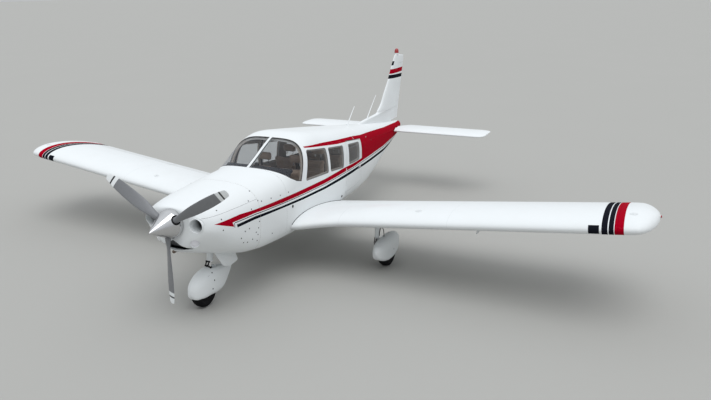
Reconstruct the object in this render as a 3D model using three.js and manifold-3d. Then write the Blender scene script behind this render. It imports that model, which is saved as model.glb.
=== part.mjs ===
// A six-seat, low-wing, single-engined light aircraft on fixed, faired landing gear.
// Millimetres, +X towards the nose, +Y to the left wing, +Z up, standing on z = 0.
// Fuselage places are given as stations: millimetres aft of the spinner's tip.
import * as THREE from "three";
import { mergeVertices } from "three/addons/utils/BufferGeometryUtils.js";
import Module from "manifold-3d";

// Driving dimensions
const LENGTH = 8500;
const MID = LENGTH / 2;
const THRUST_Z = 1320;
const WALL = 40;
const COWL_WALL = 14;
const TAIL_WALL = 12;
const SEAM = 0.4;
const MOVING_GAP = 6;
const DOOR_GAP = 8;

// Sizes that only have to reach past the aircraft, for blocks that cut it
const FAR_Y = 900;
const FAR_Z = 2300;
const PAST = 10;

// Cowl, nose and cabin stations
const COWL_FRONT = 430;
const COWL_REAR = 1480;
const NOSE_REAR = 2160;
const CABIN_REAR = 5050;
const TAIL_END = 8250;
const COWL_SPLIT_Z = 1400;
const FLOOR_TOP_Z = 640;

// Body sections. Columns: station, bottom z, top z, half width, z of the widest place,
// roundness exponent above it, roundness exponent below it (2 is an ellipse, more is squarer).
const BODY = [
  [430, 985, 1508, 270, 1290, 2.1, 1.5],
  [465, 945, 1518, 390, 1275, 2.15, 1.45],
  [520, 915, 1527, 450, 1255, 2.25, 1.45],
  [600, 885, 1535, 497, 1235, 2.35, 1.6],
  [750, 835, 1545, 536, 1210, 2.5, 2.0],
  [1000, 762, 1562, 570, 1180, 2.6, 2.8],
  [1300, 675, 1574, 594, 1160, 2.7, 3.6],
  [1480, 640, 1580, 603, 1155, 2.8, 3.9],
  [1700, 610, 1587, 610, 1150, 2.9, 4.2],
  [2160, 578, 1598, 617, 1150, 3.1, 4.6],
  [2190, 576, 1602, 618, 1150, 3.15, 4.6],
  [2240, 574, 1624, 618, 1150, 3.2, 4.6],
  [2450, 565, 1721, 620, 1150, 3.6, 4.8],
  [2650, 558, 1818, 620, 1150, 4.0, 4.8],
  [2850, 555, 1897, 620, 1150, 4.1, 4.8],
  [3100, 553, 1932, 620, 1150, 4.1, 4.8],
  [3550, 553, 1880, 620, 1150, 4.0, 4.8],
  [4050, 553, 1810, 612, 1145, 3.9, 4.6],
  [4600, 545, 1733, 578, 1140, 3.7, 4.5],
  [5050, 534, 1670, 528, 1140, 3.4, 4.4],
  [5600, 535, 1593, 450, 1140, 3.0, 4.2],
  [6000, 575, 1537, 392, 1142, 2.85, 4.0],
  [6400, 645, 1481, 335, 1145, 2.7, 3.7],
  [7200, 820, 1369, 225, 1150, 2.4, 3.2],
  [7900, 950, 1278, 130, 1150, 2.1, 2.6],
  [8250, 1000, 1235, 75, 1145, 2, 2.2],
];
const RING = 32;
const LONGEST_SPAN = 460;

// Cowl openings. The inlet has its distance from the middle, z and radius.
const INLET = { y: 337, z: 1317, radius: 86 };
// The landing light stands square to the skin, between two points given as station, y and z.
const LANDING_LIGHT = { from: [430, 320, 1062], to: [555, 232, 1106], radius: 60 };
const BOWL_THICKNESS = 60;
const OPENING_DEPTH = 150;
const SHAFT_HOLE = 70;
// The chin intake, seen from the front as y and z
const CHIN = [[0, 1102], [-220, 992], [-214, 982], [0, 972], [214, 982], [220, 992]];
const COWL_OUTLET = { from: [1300, -150, 500], to: [COWL_REAR + PAST, 150, 760] };

// Engine, as blocks between two corners given as station, y, z
const ENGINE = { from: [660, -400, 1100], to: [1360, 400, 1415] };
const SUMP = { from: [760, -230, 930], to: [1340, 230, 1110] };
const ENGINE_MOUNT = { from: [1340, -60, 1160], to: [COWL_REAR - 1, 60, 1300] };
const SHAFT_RADIUS = 50;

// Windshield: its base line, seen from the side, and its rear edge
const DECK = [[2175, 1597], [2194, 1583], [2242, 1541], [2335, 1465], [2466, 1399], [2600, 1362]];
const BOW = { station: 2600, z: 1368, lean: 0.47 };
const POST = { halfWidth: 20, depth: 30, overlap: 12 };
const GLASS_OUT = 6;
const GLASS_IN = 14;
const GLASS_GAP = 1;

// The roof's split line, seen from the side
const ROOF_LINE = { station: 2800, z: 1815, slope: -0.14 };

// Side windows, seen from the side. Columns: station and z of the four corners,
// front top, rear top, rear bottom, front bottom.
const WINDOWS = {
  front: [[2870, 1750], [3450, 1666], [3505, 1272], [2740, 1329]],
  middle: [[3529, 1650], [4095, 1574], [4080, 1217], [3575, 1269]],
  rear: [[4324, 1545], [4880, 1478], [4860, 1180], [4318, 1208]],
};

// Doors, seen from the side, as the panel's own outline from its front top corner onwards
const FRONT_DOOR = [[2835, 1796], [3480, 1706], [3536, 1272], [3540, 1003], [2648, 1003], [2648, 1196]];
const REAR_DOOR = [[4253, 1597], [4967, 1497], [4967, 798], [4198, 768], [4198, 1250]];
const NOSE_DOOR = [[1606, 1324], [2084, 1324], [2084, 906], [1606, 906]];

// Instrument panel with its glare shield, seen from the side
const PANEL = [
  [2250, 1080], [2330, 1080], [2350, 1400], [2430, 1420],
  [2430, 1440], [2380, 1458], [2215, 1500], [2215, 1420], [2250, 1400],
];
const PANEL_MARGIN = 4;

// Seats: station and y of the middle, half width, cushion top z and height of the back
const SEAT_BASE_Z = 740;
const SEAT_FOOT = { halfLength: 170, inset: 45 };
const SEATS = [
  { name: "seat_front_left", station: 2800, y: 265, half: 215, cushionZ: 960, back: 500 },
  { name: "seat_front_right", station: 2800, y: -265, half: 215, cushionZ: 960, back: 500 },
  { name: "seat_middle_left", station: 3560, y: 250, half: 205, cushionZ: 950, back: 480 },
  { name: "seat_middle_right", station: 3560, y: -250, half: 205, cushionZ: 950, back: 480 },
  { name: "seat_rear_left", station: 4380, y: 193, half: 185, cushionZ: 930, back: 400 },
  { name: "seat_rear_right", station: 4380, y: -193, half: 185, cushionZ: 930, back: 400 },
];

// Wing
const WING = {
  leadingEdge: 2580,
  chord: 1570,
  rootZ: 680,
  dihedralDegrees: 7,
  incidence: THREE.MathUtils.degToRad(3.8),
  thickness: 0.15,
  camber: 0.02,
  hinge: 0.77,
  noseRadius: 56,
  coveGap: 9,
  flap: [700, 2690],
  aileron: [2704, 4480],
  tip: 4620,
};
// Wing sections. Columns: distance out along the wing, leading and trailing edge station,
// thickness as a share of the full thickness.
const WING_SECTIONS = [
  [480, 2300, 4150, 1],
  [660, 2310, 4150, 1],
  [900, 2465, 4150, 1],
  [1130, 2555, 4150, 1],
  [1320, 2580, 4150, 1],
  [4700, 2580, 4150, 1],
  [4800, 2588, 4136, 0.96],
  [4850, 2612, 4085, 0.88],
  [4925, 2728, 3910, 0.72],
  [4975, 2895, 3720, 0.52],
  [5000, 3040, 3580, 0.36],
  [5012, 3150, 3470, 0.2],
];
// The lamp at the very tip, in the wing's own frame
const TIP_LAMP = { station: 3310, from: 4960, to: 5033, radius: 20 };
const WING_REACH = { front: 2000, rear: 4400, out: 5200, height: 500 };

// Tail
const FIN = {
  hinge: [[7880, 1300], [8230, 2480]],
  noseRadius: [34, 22],
  coveGap: 8,
  rudderBottom: 1312,
  rudderTop: 2440,
  skin: 10,
  hollowFront: 7180,
  hollowTop: 2400,
};
// Fin and rudder sections. Columns: z of the leading edge, leading and trailing edge station,
// thickness, drop of the trailing edge.
const FIN_SECTIONS = [
  [1220, 5880, 8190, 70, 0],
  [1500, 5900, 8248, 76, 0],
  [1546, 6300, 8258, 80, 0],
  [1562, 6920, 8263, 86, 0],
  [1619, 7084, 8277, 92, 0],
  [1730, 7256, 8308, 92, 0],
  [1900, 7402, 8352, 88, 0],
  [2177, 7650, 8424, 74, 0],
  [2355, 7775, 8470, 66, 4],
  [2500, 7885, 8496, 60, 14],
  [2585, 7950, 8500, 50, 30],
  [2625, 7990, 8500, 36, 45],
  [2640, 8040, 8494, 18, 52],
];
const BEACON = { station: 8090, foot: 26, base: 2596, radius: 46, top: 2652, lampRadius: 36, lampTop: 2745 };
const STABILATOR = {
  leadingEdge: 7530,
  chord: 745,
  z: 1150,
  pivot: 7725,
  tubeRadius: 30,
  tubeHalfLength: 300,
  skin: 9,
  tabHinge: 8160,
  tabNoseRadius: 11,
  tabGap: 5,
  tab: [330, 1640],
  thickness: 0.1,
};
// Stabilator sections. Columns: y, leading edge aft of the root's, share of the chord,
// share of the thickness.
const STABILATOR_SECTIONS = [
  [60, 0, 1, 1],
  [1770, 0, 1, 1],
  [1852, 14, 0.955, 0.88],
  [1912, 52, 0.86, 0.64],
  [1946, 112, 0.72, 0.4],
  [1960, 192, 0.54, 0.16],
];
// The stabilator's inner end beside the tail cone, seen from above as station and y
const STABILATOR_ROOT = [[7400, 205], [7900, 165], [8000, 200], [8110, 240], [8400, 325], [8400, 0], [7400, 0]];

// Landing gear
const TYRE_RADIUS = 222;
const TYRE_WIDTH = 160;
const RIM_RADIUS = 88;
const WHEEL_GAP = 8;
// The wheel room's outline. Columns: share of its half width, share of its radius.
const ROOM_PROFILE = [
  [-1, 0],
  [-1, 0.76],
  [-0.8, 0.905],
  [-0.48, 0.983],
  [0, 1],
  [0.48, 0.983],
  [0.8, 0.905],
  [1, 0.76],
  [1, 0],
];
const NOSE_WHEEL = 993;
const MAIN_WHEEL = 3390;
const HALF_TRACK = 1610;
const MAIN_STRUT = { station: 3290, y: 1490, topZ: 800, housingZ: 430, lowZ: 300, radius: 37 };
const NOSE_STRUT = { top: [1200, 860], bottom: [1136, 430], housing: [920, 572], piston: [600, 465] };
const FORK = { half: 90, plate: 6, halfWidth: 22, crown: [450, 466], rear: 1170, rearHalf: 46 };
const STRUT_ROOM = { from: [1090, -60, 440], to: [1240, 60, 700] };
const EXHAUST = { from: [870, -180, 842], to: [955, -425, 694], radius: 22 };
// The plate beside the cooling outlet, seen from the side as station and z
const OUTLET_PLATE = {
  y: 195,
  thickness: 10,
  outline: [[969, 800], [1426, 700], [1529, 499], [1340, 475], [1178, 529]],
};
// Wheel fairing sections, as stations from the axle. Columns: station, bottom, top, half width.
const NOSE_FAIRING = [
  [-288, 262, 300, 12],
  [-265, 205, 360, 58],
  [-215, 172, 418, 90],
  [-88, 150, 486, 118],
  [52, 141, 512, 121],
  [182, 128, 504, 115],
  [352, 142, 462, 95],
  [512, 236, 424, 60],
  [642, 335, 392, 24],
  [672, 356, 378, 9],
];
const MAIN_FAIRING = [
  [-458, 315, 350, 10],
  [-415, 240, 405, 58],
  [-320, 178, 440, 97],
  [-190, 142, 462, 119],
  [-40, 128, 474, 122],
  [110, 130, 474, 112],
  [260, 158, 446, 86],
  [390, 205, 380, 48],
  [470, 248, 300, 12],
];
const FAIRING_RING = 18;
const FAIRING_EXPONENTS = { above: 2.2, below: 4 };

// Propeller
const PROPELLER = { station: 335, blades: 3, hubRadius: 84, hubLength: 110, shankRoom: 62 };
// Blade sections. Columns: radius, chord, thickness, pitch in degrees.
const BLADE = [
  [60, 84, 80, 50],
  [185, 86, 68, 48],
  [290, 116, 40, 42],
  [450, 150, 25, 35],
  [650, 154, 17, 28],
  [840, 134, 12, 23],
  [950, 104, 9, 20],
  [993, 88, 7, 19],
  [1005, 68, 6, 19],
  [1012, 34, 5, 19],
];
const BLADE_RING = 10;
const SPINNER = { base: 422, radius: 178, straight: 70, exponent: 0.9, steps: 6, sides: 28 };

// Colours, roughness and metalness
const WHITE = { color: 0xf2f3f2, roughness: 0.25, metalness: 0 };
const FINISHES = {
  paint: WHITE,
  metal: { color: 0x9a9ea2, roughness: 0.35, metalness: 0.9 },
  polished: { color: 0xc4c6c8, roughness: 0.12, metalness: 1 },
  blade: { color: 0x6b6d70, roughness: 0.5, metalness: 0.2 },
  glass: { color: 0x4a4a4e, roughness: 0.05, metalness: 0, transparent: true, opacity: 0.4 },
  rubber: { color: 0x1b1b1c, roughness: 0.85, metalness: 0 },
  leather: { color: 0x9b8873, roughness: 0.6, metalness: 0 },
  plastic: { color: 0x26272a, roughness: 0.7, metalness: 0 },
  iron: { color: 0x3c3d3f, roughness: 0.6, metalness: 0.5 },
};
const SIDES = [[1, "left"], [-1, "right"]];

const wasm = await Module();
wasm.setup();

// A closed three.js geometry as a solid that can be cut and joined.
function solid(geometry) {
  const bare = geometry.index ? geometry.toNonIndexed() : geometry.clone();
  bare.deleteAttribute("normal");
  bare.deleteAttribute("uv");
  const merged = mergeVertices(bare, 1e-3);
  return new wasm.Manifold(
    new wasm.Mesh({
      numProp: 3,
      vertProperties: merged.attributes.position.array,
      triVerts: new Uint32Array(merged.index.array),
    }),
  );
}

// A solid as a named mesh of the aircraft.
function piece(name, body, finish, parent) {
  const mesh = body.getMesh();
  const geometry = new THREE.BufferGeometry();
  geometry.setAttribute("position", new THREE.BufferAttribute(mesh.vertProperties, 3));
  geometry.setIndex(new THREE.BufferAttribute(mesh.triVerts, 1));
  geometry.computeVertexNormals();
  const made = new THREE.Mesh(geometry, new THREE.MeshStandardMaterial(FINISHES[finish]));
  made.name = name;
  parent.add(made);
  return made;
}

// Joins rings of points, each the same count, into a closed skin with a flat cap at each end.
function loft(rings) {
  const count = rings[0].length;
  const points = rings.flat();
  const faces = [];
  for (let r = 0; r + 1 < rings.length; r++) {
    for (let i = 0; i < count; i++) {
      const a = r * count + i;
      const b = r * count + ((i + 1) % count);
      faces.push([a, b, a + count], [b, b + count, a + count]);
    }
  }
  const last = (rings.length - 1) * count;
  for (const start of [0, last]) {
    const middle = points.length;
    const sum = new THREE.Vector3();
    rings[start / count].forEach((point) => sum.add(point));
    points.push(sum.divideScalar(count));
    for (let i = 0; i < count; i++) {
      const [a, b] = [start + i, start + ((i + 1) % count)];
      faces.push(start ? [a, b, middle] : [b, a, middle]);
    }
  }
  const geometry = new THREE.BufferGeometry().setFromPoints(points);
  const made = solid(geometry.setIndex(faces.flat()));
  if (made.volume() > 0) return made;
  return solid(geometry.setIndex(faces.map(([a, b, c]) => [a, c, b]).flat()));
}

// A smooth value from a table, by station: a cubic through each row and its neighbours.
function smooth(table, station, column) {
  let i = table.findIndex((row) => row[0] >= station);
  if (i < 1) i = i < 0 ? table.length - 1 : 1;
  const [a, b] = [table[i - 1], table[i]];
  const before = table[Math.max(i - 2, 0)];
  const after = table[Math.min(i + 1, table.length - 1)];
  const span = b[0] - a[0];
  const t = Math.min(Math.max((station - a[0]) / span, 0), 1);
  const slopeA = ((b[column] - before[column]) / (b[0] - before[0])) * span;
  const slopeB = ((after[column] - a[column]) / (after[0] - a[0])) * span;
  const t2 = t * t;
  const t3 = t2 * t;
  return (
    (2 * t3 - 3 * t2 + 1) * a[column] + (t3 - 2 * t2 + t) * slopeA +
    (3 * t2 - 2 * t3) * b[column] + (t3 - t2) * slopeB
  );
}

// One ring of the body, a rounded box that shrinks inwards by inset.
function bodyRing(station, inset) {
  const [bottom, top, half, wide, above, below] = [1, 2, 3, 4, 5, 6].map((column) =>
    smooth(BODY, station, column),
  );
  const ring = [];
  for (let i = 0; i < RING; i++) {
    const angle = (2 * Math.PI * (i + 0.5)) / RING;
    const [c, s] = [Math.cos(angle), Math.sin(angle)];
    const power = 2 / (s > 0 ? above : below);
    const height = s > 0 ? top - inset - wide : wide - bottom - inset;
    const y = (half - inset) * Math.sign(c) * Math.abs(c) ** power;
    const z = wide + height * Math.sign(s) * Math.abs(s) ** power;
    ring.push(new THREE.Vector3(MID - station, y, z));
  }
  return ring;
}

// The body between two stations, at a depth below its skin. Long spans get a ring halfway.
function body(from, to, inset = 0) {
  const stations = BODY.flatMap(([station], i) => {
    const next = BODY[i + 1]?.[0] ?? station;
    return next - station > LONGEST_SPAN ? [station, (station + next) / 2] : [station];
  }).filter((station) => station > from + PAST && station < to - PAST);
  return loft([from, ...stations, to].map((station) => bodyRing(station, inset)));
}

// A straight block between two corners given as station, y, z.
function block([s1, y1, z1], [s2, y2, z2]) {
  const box = new THREE.BoxGeometry(Math.abs(s2 - s1), Math.abs(y2 - y1), Math.abs(z2 - z1));
  box.translate(MID - (s1 + s2) / 2, (y1 + y2) / 2, (z1 + z2) / 2);
  return solid(box);
}

// A prism across the aircraft, from its outline seen from the side as station and z.
function prism(outline, y1 = -FAR_Y, y2 = FAR_Y) {
  const shape = new THREE.Shape(outline.map(([s, z]) => new THREE.Vector2(MID - s, z)));
  const geometry = new THREE.ExtrudeGeometry(shape, { depth: y2 - y1, bevelEnabled: false });
  geometry.rotateX(Math.PI / 2);
  geometry.translate(0, y2, 0);
  return solid(geometry);
}

// A prism along the aircraft between two stations, from its outline seen from the front as y and z.
function prismAlong(outline, from, to) {
  const shape = new THREE.Shape(outline.map(([y, z]) => new THREE.Vector2(y, z)));
  const geometry = new THREE.ExtrudeGeometry(shape, { depth: to - from, bevelEnabled: false });
  const axes = [new THREE.Vector3(0, 1, 0), new THREE.Vector3(0, 0, 1), new THREE.Vector3(1, 0, 0)];
  geometry.applyMatrix4(new THREE.Matrix4().makeBasis(...axes));
  geometry.translate(MID - to, 0, 0);
  return solid(geometry);
}

// A prism standing on the ground plane, from its outline seen from above as station and y.
function prismDown(outline) {
  const shape = new THREE.Shape(outline.map(([s, y]) => new THREE.Vector2(MID - s, y)));
  return solid(new THREE.ExtrudeGeometry(shape, { depth: FAR_Z, bevelEnabled: false }));
}

// A rod between two points given as station, y, z.
function rod(from, to, radius1, radius2 = radius1, sides = 16) {
  const a = new THREE.Vector3(MID - from[0], from[1], from[2]);
  const b = new THREE.Vector3(MID - to[0], to[1], to[2]);
  const geometry = new THREE.CylinderGeometry(radius2, radius1, a.distanceTo(b), sides);
  const up = new THREE.Vector3(0, 1, 0);
  const along = b.clone().sub(a).normalize();
  geometry.applyQuaternion(new THREE.Quaternion().setFromUnitVectors(up, along));
  const middle = a.add(b).divideScalar(2);
  geometry.translate(middle.x, middle.y, middle.z);
  return solid(geometry);
}

// An outline with every edge moved outwards by a margin, or inwards where it is negative.
function grow(outline, margin) {
  const count = outline.length;
  const turn = outline.reduce((sum, [s, z], i) => {
    const [s2, z2] = outline[(i + 1) % count];
    return sum + s * z2 - s2 * z;
  }, 0);
  const outwards = (a, b) => {
    const size = Math.hypot(b[0] - a[0], b[1] - a[1]) * Math.sign(turn);
    return [(b[1] - a[1]) / size, (a[0] - b[0]) / size];
  };
  return outline.map((point, i) => {
    const first = outwards(outline[(i + count - 1) % count], point);
    const second = outwards(point, outline[(i + 1) % count]);
    const reach = margin / (1 + first[0] * second[0] + first[1] * second[1]);
    return [point[0] + reach * (first[0] + second[0]), point[1] + reach * (first[1] + second[1])];
  });
}

// An aerofoil section's points as fractions of its chord, x aft and z up.
function aerofoil(thickness, camber = 0, steps = 12) {
  const blunt = 0.0012;
  const points = [];
  for (let i = 0; i < 2 * steps; i++) {
    const upper = i <= steps;
    const k = upper ? i : 2 * steps - i;
    const x = 0.5 * (1 + Math.cos((Math.PI * k) / steps));
    const half =
      5 * thickness *
      (0.2969 * Math.sqrt(x) - 0.126 * x - 0.3516 * x ** 2 + 0.2843 * x ** 3 - 0.1036 * x ** 4);
    const line = camber * 4 * x * (1 - x);
    points.push([x, line + (upper ? half : -half) + (k === 0 ? blunt : 0)]);
  }
  points.push([1, -blunt]);
  return points;
}

const aircraft = new THREE.Group();

// Fuselage
const GLASS_TOP_Z = 2100;
const bowAt = (z) => [BOW.station + (z - BOW.z) * BOW.lean, z];
const SCREEN = [[2100, 1655], ...DECK, bowAt(GLASS_TOP_Z), [2100, GLASS_TOP_Z]];

const roofLineZ = (station) => ROOF_LINE.z + (station - ROOF_LINE.station) * ROOF_LINE.slope;

function aboveRoofLine(margin) {
  const [front, rear] = [NOSE_REAR - PAST, CABIN_REAR + PAST];
  return prism([
    [front, roofLineZ(front) + margin],
    [rear, roofLineZ(rear) + margin],
    [rear, FAR_Z],
    [front, FAR_Z],
  ]);
}

// A point of the nose strut's axis.
function strutAt(z) {
  const { top, bottom } = NOSE_STRUT;
  return [bottom[0] + ((z - bottom[1]) * (top[0] - bottom[0])) / (top[1] - bottom[1]), 0, z];
}

function buildCowl() {
  const [front, back] = [COWL_FRONT - BOWL_THICKNESS, COWL_FRONT + OPENING_DEPTH];
  let shell = body(COWL_FRONT, COWL_REAR - SEAM)
    .subtract(body(COWL_FRONT + BOWL_THICKNESS, COWL_REAR + PAST, COWL_WALL))
    .subtract(prismAlong(CHIN, front, back))
    .subtract(rod([front, 0, THRUST_Z], [back, 0, THRUST_Z], SHAFT_HOLE))
    .subtract(block(COWL_OUTLET.from, COWL_OUTLET.to))
    .subtract(rod(strutAt(840), strutAt(520), 56))
    .subtract(rod(EXHAUST.from, EXHAUST.to, EXHAUST.radius + MOVING_GAP));
  const { y, z, radius } = INLET;
  const light = LANDING_LIGHT;
  for (const [side] of SIDES) {
    const across = ([s, out, height]) => [s, side * out, height];
    shell = shell
      .subtract(rod([front, side * y, z], [back, side * y, z], radius, radius, 32))
      .subtract(rod(across(light.from), across(light.to), light.radius, light.radius, 24));
  }
  const upper = block([0, -FAR_Y, COWL_SPLIT_Z + SEAM], [COWL_REAR + PAST, FAR_Y, FAR_Z]);
  const lower = block([0, -FAR_Y, 0], [COWL_REAR + PAST, FAR_Y, COWL_SPLIT_Z]);
  piece("cowl_upper", shell.intersect(upper), "paint", aircraft);
  piece("cowl_lower", shell.intersect(lower), "paint", aircraft);
  const engine = block(ENGINE.from, ENGINE.to)
    .add(block(SUMP.from, SUMP.to))
    .add(block(ENGINE_MOUNT.from, ENGINE_MOUNT.to))
    .add(rod([SPINNER.base + 12, 0, THRUST_Z], [ENGINE.from[0] + PAST, 0, THRUST_Z], SHAFT_RADIUS));
  piece("engine", engine, "iron", aircraft);
}

function buildNose() {
  const hold = body(COWL_REAR + WALL, NOSE_REAR - WALL, WALL);
  const wall = body(COWL_REAR, NOSE_REAR).subtract(hold);
  const opening = prism(grow(NOSE_DOOR, MOVING_GAP), -FAR_Y, 0);
  piece("nose_section", wall.subtract(opening), "paint", aircraft);
  piece("nose_baggage_door", wall.intersect(prism(NOSE_DOOR, -FAR_Y, 0)), "paint", aircraft);
}

// An outline seen from the side, cut through one side wall only.
function sideCut(outline, side) {
  const nearMiddle = 100;
  return side > 0 ? prism(outline, nearMiddle, FAR_Y) : prism(outline, -FAR_Y, -nearMiddle);
}

function buildWindshield(glassShell, roof) {
  const opening = prism(grow(SCREEN, -SEAM));
  const strip = block(
    [NOSE_REAR + SEAM, -POST.halfWidth, 0],
    [CABIN_REAR, POST.halfWidth, FAR_Z],
  );
  const post = body(NOSE_REAR + SEAM, CABIN_REAR)
    .subtract(body(NOSE_REAR, CABIN_REAR + PAST, POST.depth))
    .intersect(strip)
    .intersect(opening.add(opening.translate([-POST.overlap, 0, 0])));
  piece("cabin_roof", roof.add(post), "paint", aircraft);
  const inner = POST.halfWidth + GLASS_GAP;
  for (const [side, name] of SIDES) {
    const half = block([NOSE_REAR, side * inner, 0], [CABIN_REAR, side * FAR_Y, FAR_Z]);
    const pane = glassShell.intersect(prism(grow(SCREEN, -GLASS_GAP))).intersect(half);
    piece(`windshield_${name}`, pane, "glass", aircraft);
  }
}

function buildCabinSide(side, name, frame, glassShell) {
  const split = side * (SEAM / 2);
  const half = block([0, split, FLOOR_TOP_Z + SEAM], [LENGTH, side * FAR_Y, FAR_Z]);
  const wall = frame.subtract(aboveRoofLine(0)).intersect(half);
  const [doorName, door, doorWindow] =
    side > 0 ? ["rear_door", REAR_DOOR, "rear"] : ["front_door", FRONT_DOOR, "front"];
  const opening = sideCut(grow(door, DOOR_GAP), side);
  let panel = wall.intersect(sideCut(door, side));
  let rest = wall.subtract(opening).subtract(opening.translate([0, 0, PAST]));
  for (const [place, outline] of Object.entries(WINDOWS)) {
    const cut = sideCut(outline, side);
    if (place === doorWindow) panel = panel.subtract(cut);
    else rest = rest.subtract(cut);
    const glass = glassShell.intersect(sideCut(grow(outline, -GLASS_GAP), side));
    piece(`window_${name}_${place}`, glass, "glass", aircraft);
  }
  piece(`cabin_side_${name}`, rest, "paint", aircraft);
  piece(doorName, panel, "paint", aircraft);
}

function buildCabin() {
  const room = body(NOSE_REAR - PAST, CABIN_REAR + PAST, WALL).intersect(
    block([0, -FAR_Y, FLOOR_TOP_Z], [LENGTH, FAR_Y, FAR_Z]),
  );
  const frame = body(NOSE_REAR + SEAM, CABIN_REAR - SEAM).subtract(room).subtract(prism(SCREEN));
  const floor = frame.intersect(block([0, -FAR_Y, 0], [LENGTH, FAR_Y, FLOOR_TOP_Z]));
  piece("cabin_floor", floor, "paint", aircraft);
  const glassShell = body(NOSE_REAR + SEAM, CABIN_REAR, GLASS_OUT).subtract(
    body(NOSE_REAR, CABIN_REAR + PAST, GLASS_IN),
  );
  for (const [side, name] of SIDES) buildCabinSide(side, name, frame, glassShell);
  buildWindshield(glassShell, frame.intersect(aboveRoofLine(SEAM)));
  const panel = body(NOSE_REAR + WALL, CABIN_REAR, WALL + PANEL_MARGIN).intersect(prism(PANEL));
  piece("instrument_panel", panel, "plastic", aircraft);
}

// A seat as one padded solid: foot, cushion, reclined back and headrest, seen from the side.
function buildSeat({ name, station, y, half, cushionZ, back }) {
  const backTop = cushionZ + back;
  const at = (points) => points.map(([s, z]) => [station + s, z]);
  const outline = at([
    [-250, SEAT_BASE_Z],
    [-250, cushionZ],
    [170, cushionZ - 30],
    [270, backTop],
    [370, backTop - 10],
    [285, cushionZ - 60],
    [230, SEAT_BASE_Z],
  ]);
  const headrest = at([
    [275, backTop - 60],
    [285, backTop + 160],
    [375, backTop + 150],
    [368, backTop - 60],
  ]);
  const footHalf = half - SEAT_FOOT.inset;
  const foot = block(
    [station - SEAT_FOOT.halfLength, y - footHalf, FLOOR_TOP_Z + SEAM],
    [station + SEAT_FOOT.halfLength, y + footHalf, SEAT_BASE_Z + PAST],
  );
  const seat = prism(outline, y - half, y + half).add(prism(headrest, y - 120, y + 120)).add(foot);
  piece(name, seat, "leather", aircraft);
}

function buildTailCone() {
  const { pivot, z, tubeRadius, tubeHalfLength } = STABILATOR;
  const reach = tubeHalfLength + WALL;
  const hole = rod([pivot, -reach, z], [pivot, reach, z], tubeRadius + MOVING_GAP);
  const hollow = body(CABIN_REAR + WALL, TAIL_END - WALL, TAIL_WALL);
  piece("tail_cone", body(CABIN_REAR, TAIL_END).subtract(hollow).subtract(hole), "paint", aircraft);
}

// Wing
const chordZ = (station) => -(station - WING.leadingEdge) * Math.tan(WING.incidence);

function wingRing([out, leading, trailing, share]) {
  const chord = trailing - leading;
  const thickness = (WING.thickness * WING.chord * share) / chord;
  return aerofoil(thickness, WING.camber).map(([x, z]) => {
    const station = leading + x * chord;
    return new THREE.Vector3(MID - station, out, chordZ(station) + z * chord);
  });
}

const HINGE_STATION = WING.leadingEdge + WING.hinge * WING.chord;
const HINGE_Z = chordZ(HINGE_STATION) + 4 * WING.camber * WING.hinge * (1 - WING.hinge) * WING.chord;

// A rod along the hinge of the flap and aileron, in the wing's own frame.
function hingeRod(out1, out2, radius) {
  return rod([HINGE_STATION, out1, HINGE_Z], [HINGE_STATION, out2, HINGE_Z], radius, radius, 24);
}

// The part of the wing's own frame between two distances out, behind a station.
function wingBlock(station, out1, out2) {
  return block([station, out1, -WING_REACH.height], [WING_REACH.rear, out2, WING_REACH.height]);
}

// The wing lies flat in its own group, which gives it its height and dihedral.
function buildWing(side, name) {
  const group = new THREE.Group();
  group.position.z = WING.rootZ;
  group.rotation.x = side * THREE.MathUtils.degToRad(WING.dihedralDegrees);
  aircraft.add(group);
  const add = (label, shape) => {
    piece(`${label}_${name}`, side > 0 ? shape : shape.mirror([0, 1, 0]), "paint", group);
  };
  const whole = loft(WING_SECTIONS.map(wingRing));
  const lampZ = chordZ(TIP_LAMP.station) + WING.camber * WING.chord;
  const lampAt = (out) => [TIP_LAMP.station, out, lampZ];
  const { from: lampFrom, to: lampTo, radius: lampRadius } = TIP_LAMP;
  let fixed = whole.add(rod(lampAt(lampFrom), lampAt(lampTo), lampRadius, lampRadius - 6));
  for (const [kind, [from, to]] of [["flap", WING.flap], ["aileron", WING.aileron]]) {
    const moving = whole
      .intersect(wingBlock(HINGE_STATION, from, to))
      .add(hingeRod(from, to, WING.noseRadius));
    add(kind, moving);
    fixed = fixed
      .subtract(wingBlock(HINGE_STATION, from - MOVING_GAP, to + MOVING_GAP))
      .subtract(hingeRod(from - MOVING_GAP, to + MOVING_GAP, WING.noseRadius + WING.coveGap));
  }
  add("wing_tip", fixed.intersect(wingBlock(WING_REACH.front, WING.tip + SEAM, WING_REACH.out)));
  // The root follows the fuselage side, which stands at a slant to the wing's own frame.
  const hull = body(WING_REACH.front, WING_REACH.rear + WALL, -1)
    .translate([0, 0, -WING.rootZ])
    .rotate([-WING.dihedralDegrees, 0, 0]);
  add("wing", fixed.intersect(wingBlock(WING_REACH.front, 0, WING.tip)).subtract(hull));
}

// Fin and rudder
function finRing([z, leading, trailing, thickness, drop]) {
  const chord = trailing - leading;
  return aerofoil(thickness / chord, 0, 9).map(
    ([x, y]) => new THREE.Vector3(MID - leading - x * chord, y * chord, z - drop * x),
  );
}

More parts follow.
